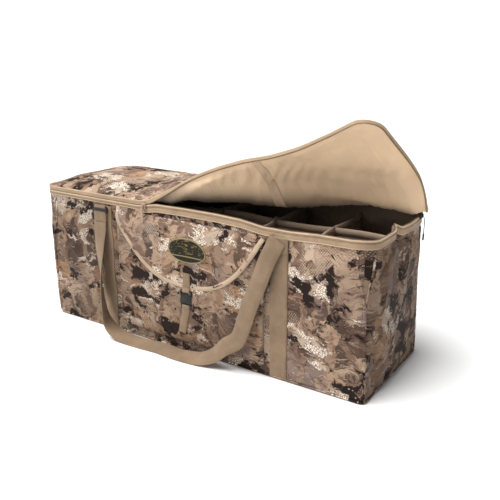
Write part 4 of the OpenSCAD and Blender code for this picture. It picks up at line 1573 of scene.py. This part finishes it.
def handle_mounts(name, side):
    """The band's loop round the upper bar, and the folded and sewn end on the right."""
    y, r = LOOP_Y * side, -0.0034 * side
    wall = (HALF_W + 0.0042) * side
    line = [(LOOP_X, wall, 0.345), (LOOP_X, wall, 0.362), (LOOP_X, y + r, RING_TOP - 0.006)]
    line += half_turn(y, RING_TOP, r)
    line += [(LOOP_X, y - r * 0.8, RING_TOP - 0.004)]
    loop = level_ribbon("mount", curve_through(line, 4), WEB_W - 0.006)
    pad = [(PAD_X, wall + side * out, z) for out, z in ((0.0005, 0.350), (0.0009, 0.362), (0.0009, 0.376),
                                                        (0.0003, 0.3885))]
    sewn = level_ribbon("mount", curve_through(pad, 5), WEB_W + 0.001, 0.0026)
    return join_meshes(name, [loop, sewn])


for word, side in (("front", -1), ("rear", 1)):
    handle = word + "_handle"
    mount(handle_strap(handle + "_strap", side), handle, WEBBING, "tan_webbing", handle + "_webbing")
    mount(handle_leg_end(handle + "_leg_end", side), handle, WEBBING, "tan_webbing")
    mount(handle_ring(word + "_ring", side), handle, BLACK, "black_plastic", handle + "_ring")
    mount(handle_mounts(word + "_mounts", side), "bag", WEBBING, "tan_webbing", handle + "_anchors")

# ---------------------------------------------------------------- zip sliders


def slider(name, low, high, depth_axis, inwards):
    """Cast slider: a plate over the teeth, a bridge in front of it and a rib between them. depth_axis is
    the axis through the zip, and inwards is 1 where the bag lies on its high side."""
    along = 1 - depth_axis
    size = high - low

    def block(trim, z_trim, near, far, bevel):
        a, b = Vector(low), Vector(high)
        a[along], b[along] = low[along] + size[along] * trim, high[along] - size[along] * trim
        a.z, b.z = low.z + size.z * z_trim, high.z - size.z * z_trim
        if inwards > 0:
            a[depth_axis], b[depth_axis] = high[depth_axis] - far, high[depth_axis] - near
        else:
            a[depth_axis], b[depth_axis] = low[depth_axis] + near, low[depth_axis] + far
        return soft_box("block", a, b, bevel)

    return join_meshes(name, [block(0, 0, 0, 0.0052, 0.0018),
                              block(0.36, 0.18, 0.003, size[depth_axis] - 0.001, 0.0016),
                              block(0.12, 0.10, 0.004, 0.0064, 0.0009)])


def front_pull():
    """Short leather-like tab on a small wire loop."""
    low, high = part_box("front_zip_pull")
    x, y = (low.x + high.x) / 2, (low.y + high.y) / 2
    z = np.linspace(high.z - 0.004, low.z, 14)
    line = np.column_stack([np.full(14, x), y + 0.0006 * np.sin(z * 160), z])
    tab = level_ribbon("pull", line, high.x - low.x, high.y - low.y)
    knob = soft_box("pull", (low.x - 0.0005, low.y - 0.0004, high.z - 0.0065),
                    (high.x + 0.0005, high.y + 0.0004, high.z - 0.001), 0.001)
    return join_meshes("front_pull_tab", [tab, knob])


def end_pull():
    """Dark cord pull with a moulded end."""
    low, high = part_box("end_zip_pull")
    x, y = (low.x + high.x) / 2, (low.y + high.y) / 2
    z = np.linspace(high.z - 0.002, low.z + 0.014, 16)
    line = np.column_stack([np.full(16, x), y + 0.0012 * np.sin((high.z - z) * 70), z])
    cord = sweep("cord", line, all_along(line, (0, 1, 0)), all_along(line, (1, 0, 0)),
                 round_section(0.0018, 8, 0.6))
    grip = soft_box("cord", (low.x - 0.0006, low.y, low.z), (high.x + 0.0006, high.y, low.z + 0.018), 0.0012)
    return join_meshes("end_pull_cord", [cord, grip])


front_slider = slider("front_slider_body", *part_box("front_zip_slider"), 1, 1)
mount(front_slider, "front_slider", SLIDER_PAINT, "slider_metal", "front_zip_slider")
end_slider = slider("end_slider_body", *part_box("end_zip_slider"), 0, -1)
mount(end_slider, "end_slider", BLACK, "slider_metal", "end_zip_slider")
mount(front_pull(), "front_pull", SLIDER_PAINT, "slider_metal", "front_zip_pull")
mount(end_pull(), "end_pull", BLACK, "black_plastic", "end_zip_pull")

# ---------------------------------------------------------------- floor, light, camera


FLOOR_TURN = math.radians(33)
FLOOR_DROP = 0.0006
WORLD_LIGHT = 0.22
SUN_POWER, SUN_SIZE = 3.9, math.radians(40)
SUN_HEADING = Vector((0.26, 0.33, -0.95))
FILL_PLACE, FILL_TARGET = Vector((-0.9, -3.2, 1.2)), Vector((0, 0, 0.3))
FILL_SIZE, FILL_POWER = (2.2, 1.4), 14
CAMERA_PLACE = (1.08767, -1.50591, 0.86726)
CAMERA_AZIMUTH, CAMERA_ELEVATION, CAMERA_ROLL = math.radians(33.471), math.radians(18.231), -0.00698
CAMERA_LENS, CAMERA_SENSOR = 47.71, 36


def stage_floor():
    """White sweep: a floor that curves up behind."""
    turn = np.radians(np.linspace(0, 90, 16))
    depth = np.concatenate([[-9, 0, 4], 5 + 3 * np.sin(turn), [8]])
    height = np.concatenate([[0, 0, 0], 3 - 3 * np.cos(turn), [12]]) - FLOOR_DROP
    across = np.array((math.cos(FLOOR_TURN), math.sin(FLOOR_TURN), 0))
    away = np.array((-math.sin(FLOOR_TURN), math.cos(FLOOR_TURN), 0))
    grid = np.array([[a * across + d * away + (0, 0, h) for a in (-14, 0, 14)]
                     for d, h in zip(depth, height)])
    floor = make_mesh("floor", grid.reshape(-1, 3), grid_faces(*grid.shape[:2]), grid[..., :2].reshape(-1, 2))
    floor.data.materials.append(Nodes("floor_white").finish((0.93, 0.93, 0.93), 0.95, specular=0.0))


def lamp(name, kind, power, heading):
    """A light that shines along a heading."""
    piece = add_object(name, bpy.data.lights.new(name, kind))
    piece.data.energy = power
    piece.rotation_euler = heading.to_track_quat("-Z", "Y").to_euler()
    return piece


def studio():
    world = bpy.data.worlds.new("studio")
    bpy.context.scene.world = world
    world.use_nodes = True
    back = world.node_tree.nodes["Background"]
    back.inputs["Color"].default_value = (1, 1, 1, 1)
    back.inputs["Strength"].default_value = WORLD_LIGHT
    lamp("sun", "SUN", SUN_POWER, SUN_HEADING).data.angle = SUN_SIZE
    fill = lamp("fill", "AREA", FILL_POWER, FILL_TARGET - FILL_PLACE)
    fill.location = FILL_PLACE
    fill.data.shape = "RECTANGLE"
    fill.data.size, fill.data.size_y = FILL_SIZE


def photo_camera():
    flat = math.cos(CAMERA_ELEVATION)
    back = Vector((math.sin(CAMERA_AZIMUTH) * flat, -math.cos(CAMERA_AZIMUTH) * flat,
                   math.sin(CAMERA_ELEVATION)))
    level = Vector((math.cos(CAMERA_AZIMUTH), math.sin(CAMERA_AZIMUTH), 0))
    upright = back.cross(level)
    right = level * math.cos(CAMERA_ROLL) + upright * math.sin(CAMERA_ROLL)
    up = upright * math.cos(CAMERA_ROLL) - level * math.sin(CAMERA_ROLL)
    camera = add_object("camera", bpy.data.cameras.new("camera"))
    camera.data.lens = CAMERA_LENS
    camera.data.sensor_width = CAMERA_SENSOR
    camera.matrix_world = Matrix((right, up, back)).transposed().to_4x4()
    camera.location = CAMERA_PLACE
    bpy.context.scene.camera = camera


stage_floor()
studio()
photo_camera()
bpy.context.scene.view_settings.view_transform = "Standard"
bpy.context.scene.view_settings.look = "None"
